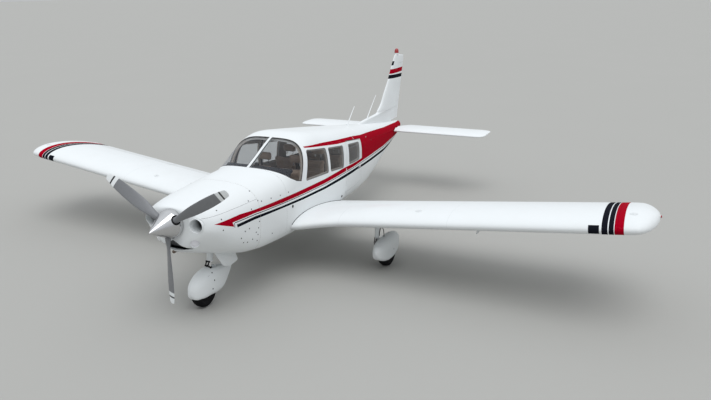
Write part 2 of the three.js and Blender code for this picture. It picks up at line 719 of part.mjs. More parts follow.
function buildFin() {
  const [[s1, z1], [s2, z2]] = FIN.hinge;
  const hingeAt = (z) => s1 + ((z - z1) * (s2 - s1)) / (z2 - z1);
  const hingeRodUp = (from, to, more) => {
    const [low, high] = FIN.noseRadius;
    return rod([hingeAt(from), 0, from], [hingeAt(to), 0, to], low + more, high + more);
  };
  const behind = (from, to) =>
    prism([[hingeAt(from), from], [LENGTH + WALL, from], [LENGTH + WALL, to], [hingeAt(to), to]]);
  const { rudderBottom, rudderTop, coveGap, skin, hollowFront, hollowTop } = FIN;
  const finRoot = FIN_SECTIONS[0][0];
  const capBottom = rudderTop + coveGap;
  const whole = loft(FIN_SECTIONS.map(finRing));
  const rudder = whole
    .intersect(behind(rudderBottom, rudderTop))
    .add(hingeRodUp(rudderBottom, rudderTop, 0).intersect(whole));
  piece("rudder", rudder, "paint", aircraft);

  const thinner = FIN_SECTIONS.map(([z, leading, trailing, thickness]) => [
    z,
    Math.max(leading + 3 * skin, hollowFront),
    trailing,
    thickness - 2 * skin,
    0,
  ]);
  const hollow = loft(thinner.filter(([z]) => z < hollowTop).map(finRing))
    .subtract(behind(finRoot - PAST, hollowTop + PAST))
    .subtract(hingeRodUp(finRoot - PAST, hollowTop + PAST, coveGap + skin));
  const { station, foot, base, radius, top, lampRadius, lampTop } = BEACON;
  const fin = whole
    .subtract(behind(finRoot - PAST, capBottom))
    .subtract(hingeRodUp(finRoot - PAST, capBottom, coveGap))
    .subtract(hollow)
    .add(rod([station, 0, base], [station, 0, top], foot, radius))
    .add(rod([station, 0, top - 1], [station, 0, lampTop], radius, lampRadius))
    .subtract(body(FIN_SECTIONS[0][1] - WALL, TAIL_END, -SEAM));
  piece("fin", fin, "paint", aircraft);
}

// Stabilator, one surface across the tail on a torque tube
function buildStabilator() {
  const { leadingEdge, chord, z, thickness, skin, pivot, tubeRadius, tubeHalfLength } = STABILATOR;
  const { tab, tabHinge, tabNoseRadius, tabGap } = STABILATOR;
  const ring = (inset) => ([y, aft, share, squeeze]) =>
    aerofoil(thickness * squeeze - (2 * inset) / chord, 0, 9).map(
      ([x, h]) =>
        new THREE.Vector3(
          MID - leadingEdge - aft - 2 * inset - x * (chord * share - 8 * inset),
          y,
          z + h * chord,
        ),
    );
  const half = loft(STABILATOR_SECTIONS.map(ring(0)));
  const hollow = loft(STABILATOR_SECTIONS.slice(0, 2).map(ring(skin)));
  const reach = 2 * chord;
  const [inner, outer] = tab;
  const tabBlock = (more) => block([tabHinge, inner - more, z - reach], [LENGTH, outer + more, z + reach]);
  const tabRod = (more) =>
    rod([tabHinge, inner - more, z], [tabHinge, outer + more, z], tabNoseRadius + more);
  const spar = block([tabHinge - 4 * skin, 0, z - reach], [LENGTH, outer + 4 * skin, z + reach]);
  const main = half
    .subtract(hollow.subtract(spar))
    .subtract(prismDown(STABILATOR_ROOT))
    .subtract(tabBlock(tabGap))
    .subtract(tabRod(tabGap));
  const tabBody = half.intersect(tabBlock(0)).add(tabRod(0));
  const tube = rod([pivot, -tubeHalfLength, z], [pivot, tubeHalfLength, z], tubeRadius);
  piece("stabilator", main.add(main.mirror([0, 1, 0])).add(tube), "paint", aircraft);
  piece("stabilator_tab_left", tabBody, "paint", aircraft);
  piece("stabilator_tab_right", tabBody.mirror([0, 1, 0]), "paint", aircraft);
}

// Landing gear
function fairing(table, axleStation, y) {
  return loft(
    table.map(([s, low, high, half]) => {
      const ring = [];
      for (let i = 0; i < FAIRING_RING; i++) {
        const angle = (2 * Math.PI * (i + 0.5)) / FAIRING_RING;
        const [across, up] = [Math.cos(angle), Math.sin(angle)];
        const power = 2 / (up > 0 ? FAIRING_EXPONENTS.above : FAIRING_EXPONENTS.below);
        ring.push(
          new THREE.Vector3(
            MID - axleStation - s,
            y + half * Math.sign(across) * Math.abs(across) ** power,
            (low + high) / 2 + ((high - low) / 2) * Math.sign(up) * Math.abs(up) ** power,
          ),
        );
      }
      return ring;
    }),
  );
}

function tyreProfile() {
  const half = TYRE_WIDTH / 2;
  const wall = 74;
  const bead = half * 0.72;
  const steps = 8;
  const points = [[RIM_RADIUS, -bead]];
  for (let i = 0; i <= steps; i++) {
    const angle = (0.86 * Math.PI * (i - steps / 2)) / steps;
    points.push([
      TYRE_RADIUS - wall + wall * Math.cos(angle) ** 0.8,
      half * Math.sign(angle) * Math.abs(Math.sin(angle)) ** 0.9,
    ]);
  }
  points.push([RIM_RADIUS, bead], [RIM_RADIUS, -bead]);
  return points;
}

const HUB_PROFILE = [[0, -52], [60, -52], [80, -40], [86, -56], [86, 56], [80, 40], [60, 52], [0, 52]];

function buildWheel(name, station, y) {
  const group = new THREE.Group();
  group.position.set(MID - station, y, TYRE_RADIUS);
  aircraft.add(group);
  const turned = (profile, sides) =>
    solid(new THREE.LatheGeometry(profile.map(([r, w]) => new THREE.Vector2(r, w)), sides));
  piece(`${name}_tyre`, turned(tyreProfile(), 32), "rubber", group);
  piece(`${name}_hub`, turned(HUB_PROFILE, 20), "paint", group);
}

// The room that a wheel turns in, with shoulders like its tyre's, open down to the ground.
function wheelRoom(station, y) {
  const radius = TYRE_RADIUS + WHEEL_GAP;
  const half = TYRE_WIDTH / 2 + WHEEL_GAP;
  const outline = ROOM_PROFILE.map(([across, out]) => new THREE.Vector2(out * radius, across * half));
  const round = solid(new THREE.LatheGeometry(outline, 32)).translate([MID - station, y, TYRE_RADIUS]);
  const below = block([station - radius, y - half, 0], [station + radius, y + half, TYRE_RADIUS]);
  return round.add(below);
}

// The nose fork below its strut: a tapered crown with an arm on each side of the tyre.
function forkYoke(margin) {
  const { half, plate, halfWidth, crown, rear, rearHalf } = FORK;
  const outer = half + plate + margin;
  const front = NOSE_WHEEL - halfWidth - margin;
  const back = NOSE_WHEEL + halfWidth + margin;
  const crownPlan = [
    [front, outer],
    [back, outer],
    [rear + margin, rearHalf + margin],
    [rear + margin, -rearHalf - margin],
    [back, -outer],
    [front, -outer],
  ];
  const layer = block([0, -FAR_Y, crown[0] - margin], [LENGTH, FAR_Y, crown[1] + margin]);
  const low = TYRE_RADIUS - halfWidth - margin;
  return SIDES.reduce(
    (yoke, [side]) =>
      yoke.add(
        block([front, side * (half - plate - margin), low], [back, side * outer, crown[0] + plate]),
      ),
    prismDown(crownPlan).intersect(layer),
  );
}

function buildNoseGear() {
  const [housingTop, housingLow] = NOSE_STRUT.housing;
  const [pistonTop, pistonLow] = NOSE_STRUT.piston;
  const bore = rod(strutAt(pistonTop + PAST), strutAt(housingLow - WALL), 25);
  const housing = rod(strutAt(housingTop), strutAt(housingLow), 48, 40);
  piece("nose_leg", housing.subtract(bore), "paint", aircraft);

  const roomGap = 2;
  const forkRoom = forkYoke(roomGap);
  piece("nose_fork", forkYoke(0).add(rod(strutAt(pistonTop), strutAt(pistonLow), 24)), "metal", aircraft);
  const shell = fairing(NOSE_FAIRING, NOSE_WHEEL, 0)
    .subtract(wheelRoom(NOSE_WHEEL, 0))
    .subtract(forkRoom)
    .subtract(block(STRUT_ROOM.from, STRUT_ROOM.to));
  piece("nose_fairing", shell, "paint", aircraft);
  buildWheel("nose", NOSE_WHEEL, 0);
}

// The left main gear. The right one is its mirror image.
function buildMainGear() {
  const { station, y, topZ, housingZ, lowZ, radius } = MAIN_STRUT;
  const axleZ = TYRE_RADIUS;
  const wing = loft(WING_SECTIONS.map(wingRing))
    .rotate([WING.dihedralDegrees, 0, 0])
    .translate([0, 0, WING.rootZ - SEAM]);
  const leg = rod([station, y, topZ], [station, y, housingZ], radius, radius - 6, 24)
    .add(rod([station, y, housingZ + PAST], [station, y, lowZ], 26))
    .add(block([station - 30, y - 30, axleZ - 40], [station + 30, y + 30, lowZ + 20]))
    .add(block([station - 30, y - 14, axleZ - 24], [MAIN_WHEEL + 30, y + 14, axleZ + 24]))
    .add(rod([MAIN_WHEEL, y, axleZ], [MAIN_WHEEL, HALF_TRACK - 54, axleZ], 18))
    .subtract(wing);
  const legRoom = block([station - 52, y - 60, axleZ - 72], [MAIN_WHEEL + 34, y + 44, 2 * housingZ]);
  const shell = fairing(MAIN_FAIRING, MAIN_WHEEL, HALF_TRACK)
    .subtract(wheelRoom(MAIN_WHEEL, HALF_TRACK))
    .subtract(legRoom);
  for (const [side, name] of SIDES) {
    const turn = (shape) => (side > 0 ? shape : shape.mirror([0, 1, 0]));
    piece(`main_leg_${name}`, turn(leg), "paint", aircraft);
    piece(`main_fairing_${name}`, turn(shell), "paint", aircraft);
    buildWheel(`main_${name}`, MAIN_WHEEL, side * HALF_TRACK);
  }
}

// Propeller and spinner
function blade() {
  return loft(
    BLADE.map(([radius, chord, thickness, pitch]) => {
      const ring = [];
      const angle = THREE.MathUtils.degToRad(pitch);
      for (let i = 0; i < BLADE_RING; i++) {
        const turn = (2 * Math.PI * i) / BLADE_RING;
        const along = (chord / 2) * Math.cos(turn);
        const across = (thickness / 2) * Math.sin(turn);
        ring.push(
          new THREE.Vector3(
            along * Math.sin(angle) + across * Math.cos(angle),
            -along * Math.cos(angle) + across * Math.sin(angle),
            radius,
          ),
        );
      }
      return ring;
    }),
  );
}

function buildPropeller() {
  const { station, blades, hubRadius, hubLength, shankRoom } = PROPELLER;
  const group = new THREE.Group();
  group.position.set(MID - station, 0, THRUST_Z);
  aircraft.add(group);
  const axle = (radius, half) => rod([MID - half, 0, 0], [MID + half, 0, 0], radius);
  const shank = rod([MID, 0, hubRadius - 34], [MID, 0, 220], shankRoom, shankRoom, 20);
  let turning = axle(hubRadius, hubLength / 2);
  let room = axle(hubRadius + 2, hubLength / 2 + 2);
  for (let i = 0; i < blades; i++) {
    const turn = 180 + (360 / blades) * i;
    turning = turning.add(blade().rotate([turn, 0, 0]));
    room = room.add(shank.rotate([turn, 0, 0]));
  }
  piece("propeller", turning, "blade", group);

  const { base, radius, straight, exponent, steps, sides } = SPINNER;
  const rear = station - base;
  const profile = [[0, rear], [radius, rear], [radius, rear + straight]];
  for (let i = 1; i <= steps; i++) {
    const t = i / steps;
    profile.push([radius * (1 - t) ** exponent, rear + straight + t * (base - straight)]);
  }
  const cone = new THREE.LatheGeometry(profile.map(([r, x]) => new THREE.Vector2(r, x)), sides);
  cone.rotateZ(-Math.PI / 2);
  piece("spinner", solid(cone).subtract(room), "polished", group);
}

function buildSmallParts() {
  piece("exhaust_pipe", rod(EXHAUST.from, EXHAUST.to, EXHAUST.radius), "iron", aircraft);
  const { y, thickness, outline } = OUTLET_PLATE;
  const plate = prism(outline, y, y + thickness).subtract(body(COWL_FRONT, NOSE_REAR, -SEAM));
  piece("outlet_baffle", plate, "paint", aircraft);
}

buildCowl();
buildNose();
buildCabin();
SEATS.forEach(buildSeat);
buildTailCone();
for (const [side, name] of SIDES) buildWing(side, name);
buildFin();
buildStabilator();
buildNoseGear();
buildMainGear();
buildPropeller();
buildSmallParts();

export default aircraft;
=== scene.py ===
"""The looks of a six-seat, low-wing light aircraft, built around its packed CAD frame.

Places along the aircraft are stations, in millimetres behind the spinner's tip. Places across it
are in millimetres to the left, and heights are in millimetres above the ground.
"""
import math
from functools import cache, reduce
from operator import or_

import bpy
from mathutils import Matrix, Vector


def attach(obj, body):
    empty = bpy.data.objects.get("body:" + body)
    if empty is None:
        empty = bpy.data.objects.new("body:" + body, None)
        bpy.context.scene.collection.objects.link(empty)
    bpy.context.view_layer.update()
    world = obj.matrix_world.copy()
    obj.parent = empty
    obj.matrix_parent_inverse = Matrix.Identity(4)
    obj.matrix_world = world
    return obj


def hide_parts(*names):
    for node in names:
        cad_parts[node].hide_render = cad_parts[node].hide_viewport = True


bl_info = {
    "name": "Light Aircraft",
    "version": (1, 0, 0),
    "blender": (4, 5, 0),
    "location": "3D View > Sidebar > Aircraft",
    "description": "Builds the shell, cabin, wings, tail, landing gear and propeller of a light aircraft",
    "category": "Object",
}

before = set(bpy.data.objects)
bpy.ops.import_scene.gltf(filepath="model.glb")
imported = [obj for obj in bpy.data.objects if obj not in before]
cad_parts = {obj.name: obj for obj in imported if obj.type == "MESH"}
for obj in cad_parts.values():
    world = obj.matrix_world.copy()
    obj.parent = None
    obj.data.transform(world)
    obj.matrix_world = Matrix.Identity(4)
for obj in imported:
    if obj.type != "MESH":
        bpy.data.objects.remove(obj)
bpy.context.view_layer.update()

MM = 0.001
# Station of the frame's origin
MID = 4250
SIDES = ((1, "left"), (-1, "right"))

# Body sections. Columns: station, bottom, top, half width, height of the widest place,
# roundness exponent above it and below it.
BODY = (
    (430, 985, 1508, 270, 1290, 2.1, 1.5),
    (465, 945, 1518, 390, 1275, 2.15, 1.45),
    (520, 915, 1527, 450, 1255, 2.25, 1.45),
    (600, 885, 1535, 497, 1235, 2.35, 1.6),
    (750, 835, 1545, 536, 1210, 2.5, 2.0),
    (1000, 762, 1562, 570, 1180, 2.6, 2.8),
    (1300, 675, 1574, 594, 1160, 2.7, 3.6),
    (1480, 640, 1580, 603, 1155, 2.8, 3.9),
    (1700, 610, 1587, 610, 1150, 2.9, 4.2),
    (2160, 578, 1598, 617, 1150, 3.1, 4.6),
    (2190, 576, 1602, 618, 1150, 3.15, 4.6),
    (2240, 574, 1624, 618, 1150, 3.2, 4.6),
    (2450, 565, 1721, 620, 1150, 3.6, 4.8),
    (2650, 558, 1818, 620, 1150, 4.0, 4.8),
    (2850, 555, 1897, 620, 1150, 4.1, 4.8),
    (3100, 553, 1932, 620, 1150, 4.1, 4.8),
    (3550, 553, 1880, 620, 1150, 4.0, 4.8),
    (4050, 553, 1810, 612, 1145, 3.9, 4.6),
    (4600, 545, 1733, 578, 1140, 3.7, 4.5),
    (5050, 534, 1670, 528, 1140, 3.4, 4.4),
    (5600, 535, 1593, 450, 1140, 3.0, 4.2),
    (6000, 575, 1537, 392, 1142, 2.85, 4.0),
    (6400, 645, 1481, 335, 1145, 2.7, 3.7),
    (7200, 820, 1369, 225, 1150, 2.4, 3.2),
    (7900, 950, 1278, 130, 1150, 2.1, 2.6),
    (8250, 1000, 1235, 75, 1145, 2, 2.2),
)
COWL_FRONT, COWL_REAR, NOSE_REAR, CABIN_REAR, TAIL_END = 430, 1480, 2160, 5050, 8250
COWL_SPLIT, FLOOR_TOP, SPLIT_GAP = 1400, 640, 1.2
# The cowl's rounded front edge. Columns: station, depth below the skin.
COWL_LIP = ((430, 16), (431, 9), (434, 4), (439, 1))
WALL, COWL_WALL = 40, 14
# The look of the faces that line the cabin, and the depth from which they count
LINED = ("lining", WALL * 0.8)
COWL_HOLLOW = 490
THRUST = 1320
FAR = 2400

INLET = {"y": 337, "z": 1317, "radius": 86}
LIGHT = {"from": (430, 320, 1062), "to": (555, 232, 1106), "radius": 60}
CHIN = ((0, 1102), (-220, 992), (-214, 982), (0, 972), (214, 982), (220, 992))
EXHAUST = ((870, -180, 842), (955, -425, 694))
EXHAUST_RADIUS = 22
OUTLET_PLATE = ((969, 800), (1426, 700), (1529, 499), (1340, 475), (1178, 529))

DECK = ((2175, 1597), (2194, 1583), (2242, 1541), (2335, 1465), (2466, 1399), (2600, 1362))
SCREEN = ((2100, 1655), *DECK, (2600 + 0.47 * (2100 - 1368), 2100), (2100, 2100))
ROOF_LINE = {"station": 2800, "z": 1815, "slope": -0.14}
WINDOWS = {
    "front": ((2870, 1750), (3450, 1666), (3505, 1272), (2740, 1329)),
    "middle": ((3529, 1650), (4095, 1574), (4080, 1217), (3575, 1269)),
    "rear": ((4324, 1545), (4880, 1478), (4860, 1180), (4318, 1208)),
}
DOORS = {
    "front_door": ((2835, 1796), (3480, 1706), (3536, 1272), (3540, 1003), (2648, 1003), (2648, 1196)),
    "rear_door": ((4253, 1597), (4967, 1497), (4967, 798), (4198, 768), (4198, 1250)),
    "nose_baggage_door": ((1606, 1324), (2084, 1324), (2084, 906), (1606, 906)),
}

WING = {
    "leading": 2580, "chord": 1570, "root_z": 680, "dihedral": math.radians(7),
    "slope": math.tan(math.radians(3.8)), "thickness": 0.15, "camber": 0.02, "hinge": 0.77,
    "nose_radius": 56, "flap": (700, 2690), "aileron": (2704, 4480), "tip": 4620,
}
# Wing sections. Columns: distance out along the wing, leading and trailing edge station,
# share of the full thickness.
WING_SECTIONS = (
    (480, 2300, 4150, 1), (660, 2310, 4150, 1), (900, 2465, 4150, 1), (1130, 2555, 4150, 1),
    (1320, 2580, 4150, 1), (4700, 2580, 4150, 1), (4800, 2588, 4136, 0.96), (4850, 2612, 4085, 0.88),
    (4925, 2728, 3910, 0.72), (4975, 2895, 3720, 0.52), (5000, 3040, 3580, 0.36), (5012, 3150, 3470, 0.2),
)
# Fin and rudder sections. Columns: z of the leading edge, leading and trailing edge station,
# thickness, drop of the trailing edge.
FIN_SECTIONS = (
    (1220, 5880, 8190, 70, 0), (1500, 5900, 8248, 76, 0), (1546, 6300, 8258, 80, 0),
    (1562, 6920, 8263, 86, 0), (1619, 7084, 8277, 92, 0), (1730, 7256, 8308, 92, 0),
    (1900, 7402, 8352, 88, 0), (2177, 7650, 8424, 74, 0), (2355, 7775, 8470, 66, 4),
    (2500, 7885, 8496, 60, 14), (2585, 7950, 8500, 50, 30), (2625, 7990, 8500, 36, 45),
    (2640, 8040, 8494, 18, 52),
)
FIN_HINGE = ((7880, 1300), (8230, 2480))
RUDDER = (1312, 2440)
STABILATOR = {
    "leading": 7530, "chord": 745, "z": 1150, "pivot": 7725, "thickness": 0.1,
    "tab_hinge": 8160, "tab_nose": 11, "tab": (330, 1640),
}
# Tailplane sections. Columns: distance to the left, shift of the leading edge aft, share of the
# chord, share of the thickness.
STABILATOR_SECTIONS = (
    (60, 0, 1, 1), (1770, 0, 1, 1), (1852, 14, 0.955, 0.88), (1912, 52, 0.86, 0.64),
    (1946, 112, 0.72, 0.4), (1960, 192, 0.54, 0.16),
)
STABILATOR_ROOT = ((7400, 205), (7900, 165), (8000, 200), (8110, 240), (8400, 325), (8400, 0), (7400, 0))

TYRE_RADIUS = 222
# The outline of the room a wheel turns in. Columns: distance across, radius.
WHEEL_ROOM = ((-88, 175), (-70.4, 208), (-42.2, 226), (0, 230), (42.2, 226), (70.4, 208), (88, 175))
NOSE_WHEEL, MAIN_WHEEL, HALF_TRACK = 993, 3390, 1610
MAIN_STRUT = (3290, 1490)
# Along the nose strut, downwards
STRUT_AXIS = (0.1473, 0, -0.989)
# Wheel fairing sections, from the axle. Columns: station, bottom, top, half width.
NOSE_FAIRING = (
    (-288, 262, 300, 12), (-265, 205, 360, 58), (-215, 172, 418, 90), (-88, 150, 486, 118),
    (52, 141, 512, 121), (182, 128, 504, 115), (352, 142, 462, 95), (512, 236, 424, 60),
    (642, 335, 392, 24), (672, 356, 378, 9),
)
MAIN_FAIRING = (
    (-458, 315, 350, 10), (-415, 240, 405, 58), (-320, 178, 440, 97), (-190, 142, 462, 119),
    (-40, 128, 474, 122), (110, 130, 474, 112), (260, 158, 446, 86), (390, 205, 380, 48),
    (470, 248, 300, 12),
)
# Roundness exponent of a fairing's lower and upper half
FAIRING_POWER = (4, 2.2)
BLADE_STATION = 335
# Blade sections. Columns: radius, chord, thickness, pitch in degrees.
BLADE = (
    (60, 84, 80, 50), (185, 86, 68, 48), (290, 116, 40, 42), (450, 150, 25, 35), (650, 154, 17, 28),
    (840, 134, 12, 23), (950, 104, 9, 20), (993, 88, 7, 19), (1005, 68, 6, 19), (1012, 34, 5, 19),
)
# Seats. Columns: station, distance to the left, half width, seat height, height of the back over it.
SEATS = {
    "seat_front_left": (2800, 265, 215, 960, 500), "seat_front_right": (2800, -265, 215, 960, 500),
    "seat_middle_left": (3560, 250, 205, 950, 480), "seat_middle_right": (3560, -250, 205, 950, 480),
    "seat_rear_left": (4380, 193, 185, 930, 400), "seat_rear_right": (4380, -193, 185, 930, 400),
}


def colour_property(name, description, default):
    """A colour that a user may change."""
    return bpy.props.FloatVectorProperty(
        name=name, description=description, default=default, size=3, subtype="COLOR", min=0, max=1
    )


def length_property(name, description, default):
    """A length that a user may change, in metres."""
    return bpy.props.FloatProperty(
        name=name, description=description, default=default, min=0, subtype="DISTANCE", unit="LENGTH"
    )


class AircraftColours(bpy.types.PropertyGroup):
    """Colours of the paint and the trim"""

    white: colour_property("White", "The main paint", (0.80, 0.825, 0.835))
    red: colour_property("Red", "The wide stripes", (0.36, 0.0, 0.012))
    black: colour_property("Black", "The narrow stripes", (0.008, 0.009, 0.014))
    leather: colour_property("Leather", "The seats", (0.36, 0.25, 0.175))
    lining: colour_property("Lining", "The cabin's side and roof trim", (0.42, 0.36, 0.30))
    carpet: colour_property("Carpet", "The cabin floor", (0.07, 0.06, 0.055))
    blade: colour_property("Blade", "The propeller's paint", (0.19, 0.195, 0.205))
    glass: colour_property("Glass", "The tint of the windows", (0.91, 0.92, 0.93))
    floor: colour_property("Floor", "The studio floor", (0.42, 0.415, 0.395))


class AircraftSizes(bpy.types.PropertyGroup):
    """Sizes of the details that are added to the frame"""

    frame_width: length_property("Window frame", "Width of the white frame round a window", 0.022)
    gasket_width: length_property("Gasket", "Width of the rubber between frame and glass", 0.007)
    fastener_radius: length_property("Fastener", "Radius of a cowl fastener", 0.010)
    voxel: length_property("Voxel", "Fineness of the cushions while they are inflated", 0.006)


# Shader expressions


def maths(operation, reflected=False):
    """A Python operator that adds one Math node."""

    def method(self, *others):
        values = (*others, self) if reflected else (self, *others)
        return self.sheet.make("Math", {"operation": operation}, dict(enumerate(values)))

    return method


class Wire:
    """The value of one socket in a material, for use in ordinary Python sums."""

    __add__, __radd__ = maths("ADD"), maths("ADD", True)
    __sub__, __rsub__ = maths("SUBTRACT"), maths("SUBTRACT", True)
    __mul__, __rmul__ = maths("MULTIPLY"), maths("MULTIPLY", True)
    __truediv__, __mod__, __or__ = maths("DIVIDE"), maths("FLOORED_MODULO"), maths("MAXIMUM")
    __gt__, __lt__, __abs__ = maths("GREATER_THAN"), maths("LESS_THAN"), maths("ABSOLUTE")
    power = maths("POWER")

    def __init__(self, sheet, socket):
        self.sheet = sheet
        self.socket = socket

    def between(self, low, high):
        """1 where this value lies between two others."""
        return (self > low) * (self < high)


class Sheet:
    """A material under construction."""

    def __init__(self, name):
        self.material = bpy.data.materials.new(name)
        self.material.use_nodes = True
        self.tree = self.material.node_tree
        self.tree.nodes.clear()

    def make(self, kind, settings=None, values=None, output=0):
        """Adds a node, sets it, fills or links its sockets, and returns one output."""
        node = self.tree.nodes.new("ShaderNode" + kind)
        for key, value in (settings or {}).items():
            if key == "stops":
                for element, at in zip(node.color_ramp.elements, value):
                    element.position = at
            elif key == "points":
                curve = node.mapping.curves[0]
                while len(curve.points) < len(value):
                    curve.points.new(0.5, 0.5)
                for knot, spot in zip(curve.points, value):
                    knot.location, knot.handle_type = spot, "VECTOR"
                node.mapping.update()
            else:
                setattr(node, key, value)
        for key, value in (values or {}).items():
            socket = node.inputs[key]
            if isinstance(value, Wire):
                self.tree.links.new(value.socket, socket)
            elif hasattr(value, "__len__") and len(value) < len(socket.default_value):
                socket.default_value = (*value, 1)
            else:
                socket.default_value = value
        return Wire(self, node.outputs[output])

    def spot(self):
        """The point on the piece, in metres."""
        return self.make("TexCoord", output="Object")

    def axes(self):
        """Station in metres, distance to the left, and height."""
        x, y, z = (self.make("SeparateXYZ", None, {"Vector": self.spot()}, axis) for axis in range(3))
        return MID * MM - x, y, z

    def noise(self, scale, detail=3.0, where=None):
        """Cloudy values from 0 to 1."""
        sockets = {"Vector": where or self.spot(), "Scale": scale, "Detail": detail}
        return self.make("TexNoise", None, sockets)

    def waves(self, scale, direction):
        """Even bands square to one axis."""
        sockets = {"Vector": self.spot(), "Scale": scale}
        return self.make("TexWave", {"bands_direction": direction}, sockets)

    def ramp(self, value, low, high):
        """0 up to a low value, 1 from a high one, and an even rise between them."""
        return self.make("ValToRGB", {"stops": (low, high)}, {0: value})

    def blend(self, share, first, second, kind="MIX"):
        """A colour between two colours."""
        settings = {"data_type": "RGBA", "blend_type": kind}
        return self.make("Mix", settings, {0: share, 6: first, 7: second}, 2)

    def shade(self, share, colour, factor):
        """A colour multiplied by another, by a share."""
        return self.blend(share, colour, factor, "MULTIPLY")

    def line(self, station, points):
        """The height of a line that runs straight between points of station and z, in metres."""
        reach, height = 8.5, 3.0
        knots = [(s * MM / reach, z * MM / height) for s, z in points]
        return self.make("FloatCurve", {"points": knots}, {1: station / reach}) * height

    def bump(self, height, distance, strength=1.0):
        """A normal bent by a height."""
        return self.make("Bump", None, {"Height": height, "Distance": distance, "Strength": strength})

    def principled(self, **values):
        """The shader, by its socket names with underscores for spaces."""
        sockets = {key.replace("_", " "): value for key, value in values.items()}
        return self.make("BsdfPrincipled", None, sockets)

    def done(self, shader=None, **values):
        """Ends the material with a shader, or with the usual one and its sockets."""
        node = self.tree.nodes.new("ShaderNodeOutputMaterial")
        self.tree.links.new((shader or self.principled(**values)).socket, node.inputs["Surface"])
        return self.material


def gloss(sheet, colour, height=0, stripes=0.0):
    """Glossy two-pack paint with a little dust, faint orange peel and a clear coat, duller on stripes."""
    dust = sheet.ramp(sheet.noise(3.0, 6.0), 0.35, 0.75)
    grain = sheet.noise(900.0, 1.0)
    return sheet.done(
        Base_Color=sheet.shade(dust * 0.10, colour, (0.80, 0.78, 0.74)), Roughness=0.16 + dust * 0.10,
        Coat_Weight=0.30 - stripes * 0.26, Coat_Roughness=0.05, Specular_IOR_Level=0.0,
        Normal=sheet.bump(height + grain * 0.02, 0.002, 0.35),
    )


def seams(value, places, width=0.0022):
    """1 on thin lines where a value passes each of some places."""
    return reduce(or_, [abs(value - place) < width / 2 for place in places])


def rivets(along, across, lines, pitch=0.028, radius=0.0028):
    """1 on rivet heads at a pitch along each of some lines."""
    reach = (along % pitch) - pitch / 2
    offs = [across - line for line in lines]
    return reduce(or_, [(reach * reach + off * off) < radius * radius for off in offs])


# The places of the body's stripes, from its side, as station and z
SIDE_TOP = (
    (604, 1314), (1063, 1318), (1373, 1293), (2031, 1260), (2673, 1231), (3348, 1209), (4038, 1212),
    (4734, 1178), (5050, 1168),
)
SIDE_LOW = (
    (898, 1260), (1361, 1251), (2024, 1201), (2672, 1168), (3348, 1143), (4039, 1141), (4737, 1124),
    (5055, 1114), (5709, 1077), (6639, 1031), (7574, 1026), (8250, 1030),
)
THIN_LINE = (
    (941, 1245), (1358, 1234), (2024, 1190), (2671, 1154), (3348, 1128), (4040, 1124), (4737, 1106),
    (5055, 1092), (5709, 1053), (6639, 1007), (7574, 1003), (8250, 1008),
)
THICK_TOP = (
    (974, 1213), (1354, 1211), (2022, 1158), (2671, 1119), (3348, 1092), (4040, 1093), (4739, 1079),
    (5059, 1051), (5716, 1012), (6657, 968), (7574, 972), (8250, 985),
)
THICK_LOW = (
    (985, 1179), (1352, 1177), (2021, 1133), (2670, 1089), (3348, 1059), (4041, 1051), (4741, 1039),
    (5061, 1015), (5720, 973), (6679, 925), (7574, 940), (8250, 962),
)
ROOF_TOP = (
    (2860, 1797), (3344, 1755), (3981, 1682), (4657, 1606), (5146, 1534), (5976, 1443), (6844, 1346),
    (7972, 1249), (8250, 1235),
)
ROOF_LOW = ((2860, 1779), (3299, 1717), (3906, 1631), (4557, 1562), (5010, 1500))
CREASE = ((5529, 1385), (7589, 1134))
ALL_RED = 5.005


def striped(sheet, colours, base, red, black):
    """A colour crossed by red and black stripes."""
    return sheet.blend(black, sheet.blend(red, base, colours.red), colours.black)


def hull_paint(colours):
    """White body paint with the side and roof stripes."""
    sheet = Sheet("hull_paint")
    station, y, z = sheet.axes()
    lines = (SIDE_TOP, SIDE_LOW, ROOF_TOP, ROOF_LOW, THIN_LINE, THICK_TOP, THICK_LOW, CREASE)
    lines = [sheet.line(station, line) for line in lines]
    top, low, roof_top, roof_low, thin, thick_top, thick_low, crease = lines
    arrow = (station > 0.604) * (z < top) * (z > 1.314 - (station - 0.604) * 0.358)
    arrow = arrow * (station < 0.898 + (1.260 - z) * 0.443)
    band = station.between(0.860, ALL_RED) * z.between(low, top)
    roof = station.between(2.862 + (1.797 - z) * 0.5, ALL_RED) * z.between(roof_low, roof_top)
    rear = (station > ALL_RED) * z.between(low, roof_top)
    slash = abs(station - 4.66 - (1.585 - z) * 0.5) < 0.007
    red = arrow | band | (roof * (1.0 - slash)) | rear
    thin = (station > 0.941) * (abs(z - thin) < 0.005)
    thick = (station > 0.974 + (1.213 - z) * 0.32) * z.between(thick_low - 0.006, thick_top)
    start = station.between(0.928, 0.938) * z.between(1.186, 1.246)
    black = thin | thick | start
    crease = station.between(5.53, 7.59) * (abs(z - crease) < 0.0022)
    cuts = seams(station, (1.48, 2.166, 5.052, 5.98, 6.95)) | crease
    dots = rivets(z + abs(y), station, (1.50, 2.145, 5.07, 5.96, 6.93, 7.6))
    colour = sheet.shade(cuts * 0.7, striped(sheet, colours, colours.white, red, black), (0.35, 0.35, 0.36))
    return gloss(sheet, colour, dots * 0.4 - cuts, red | black)


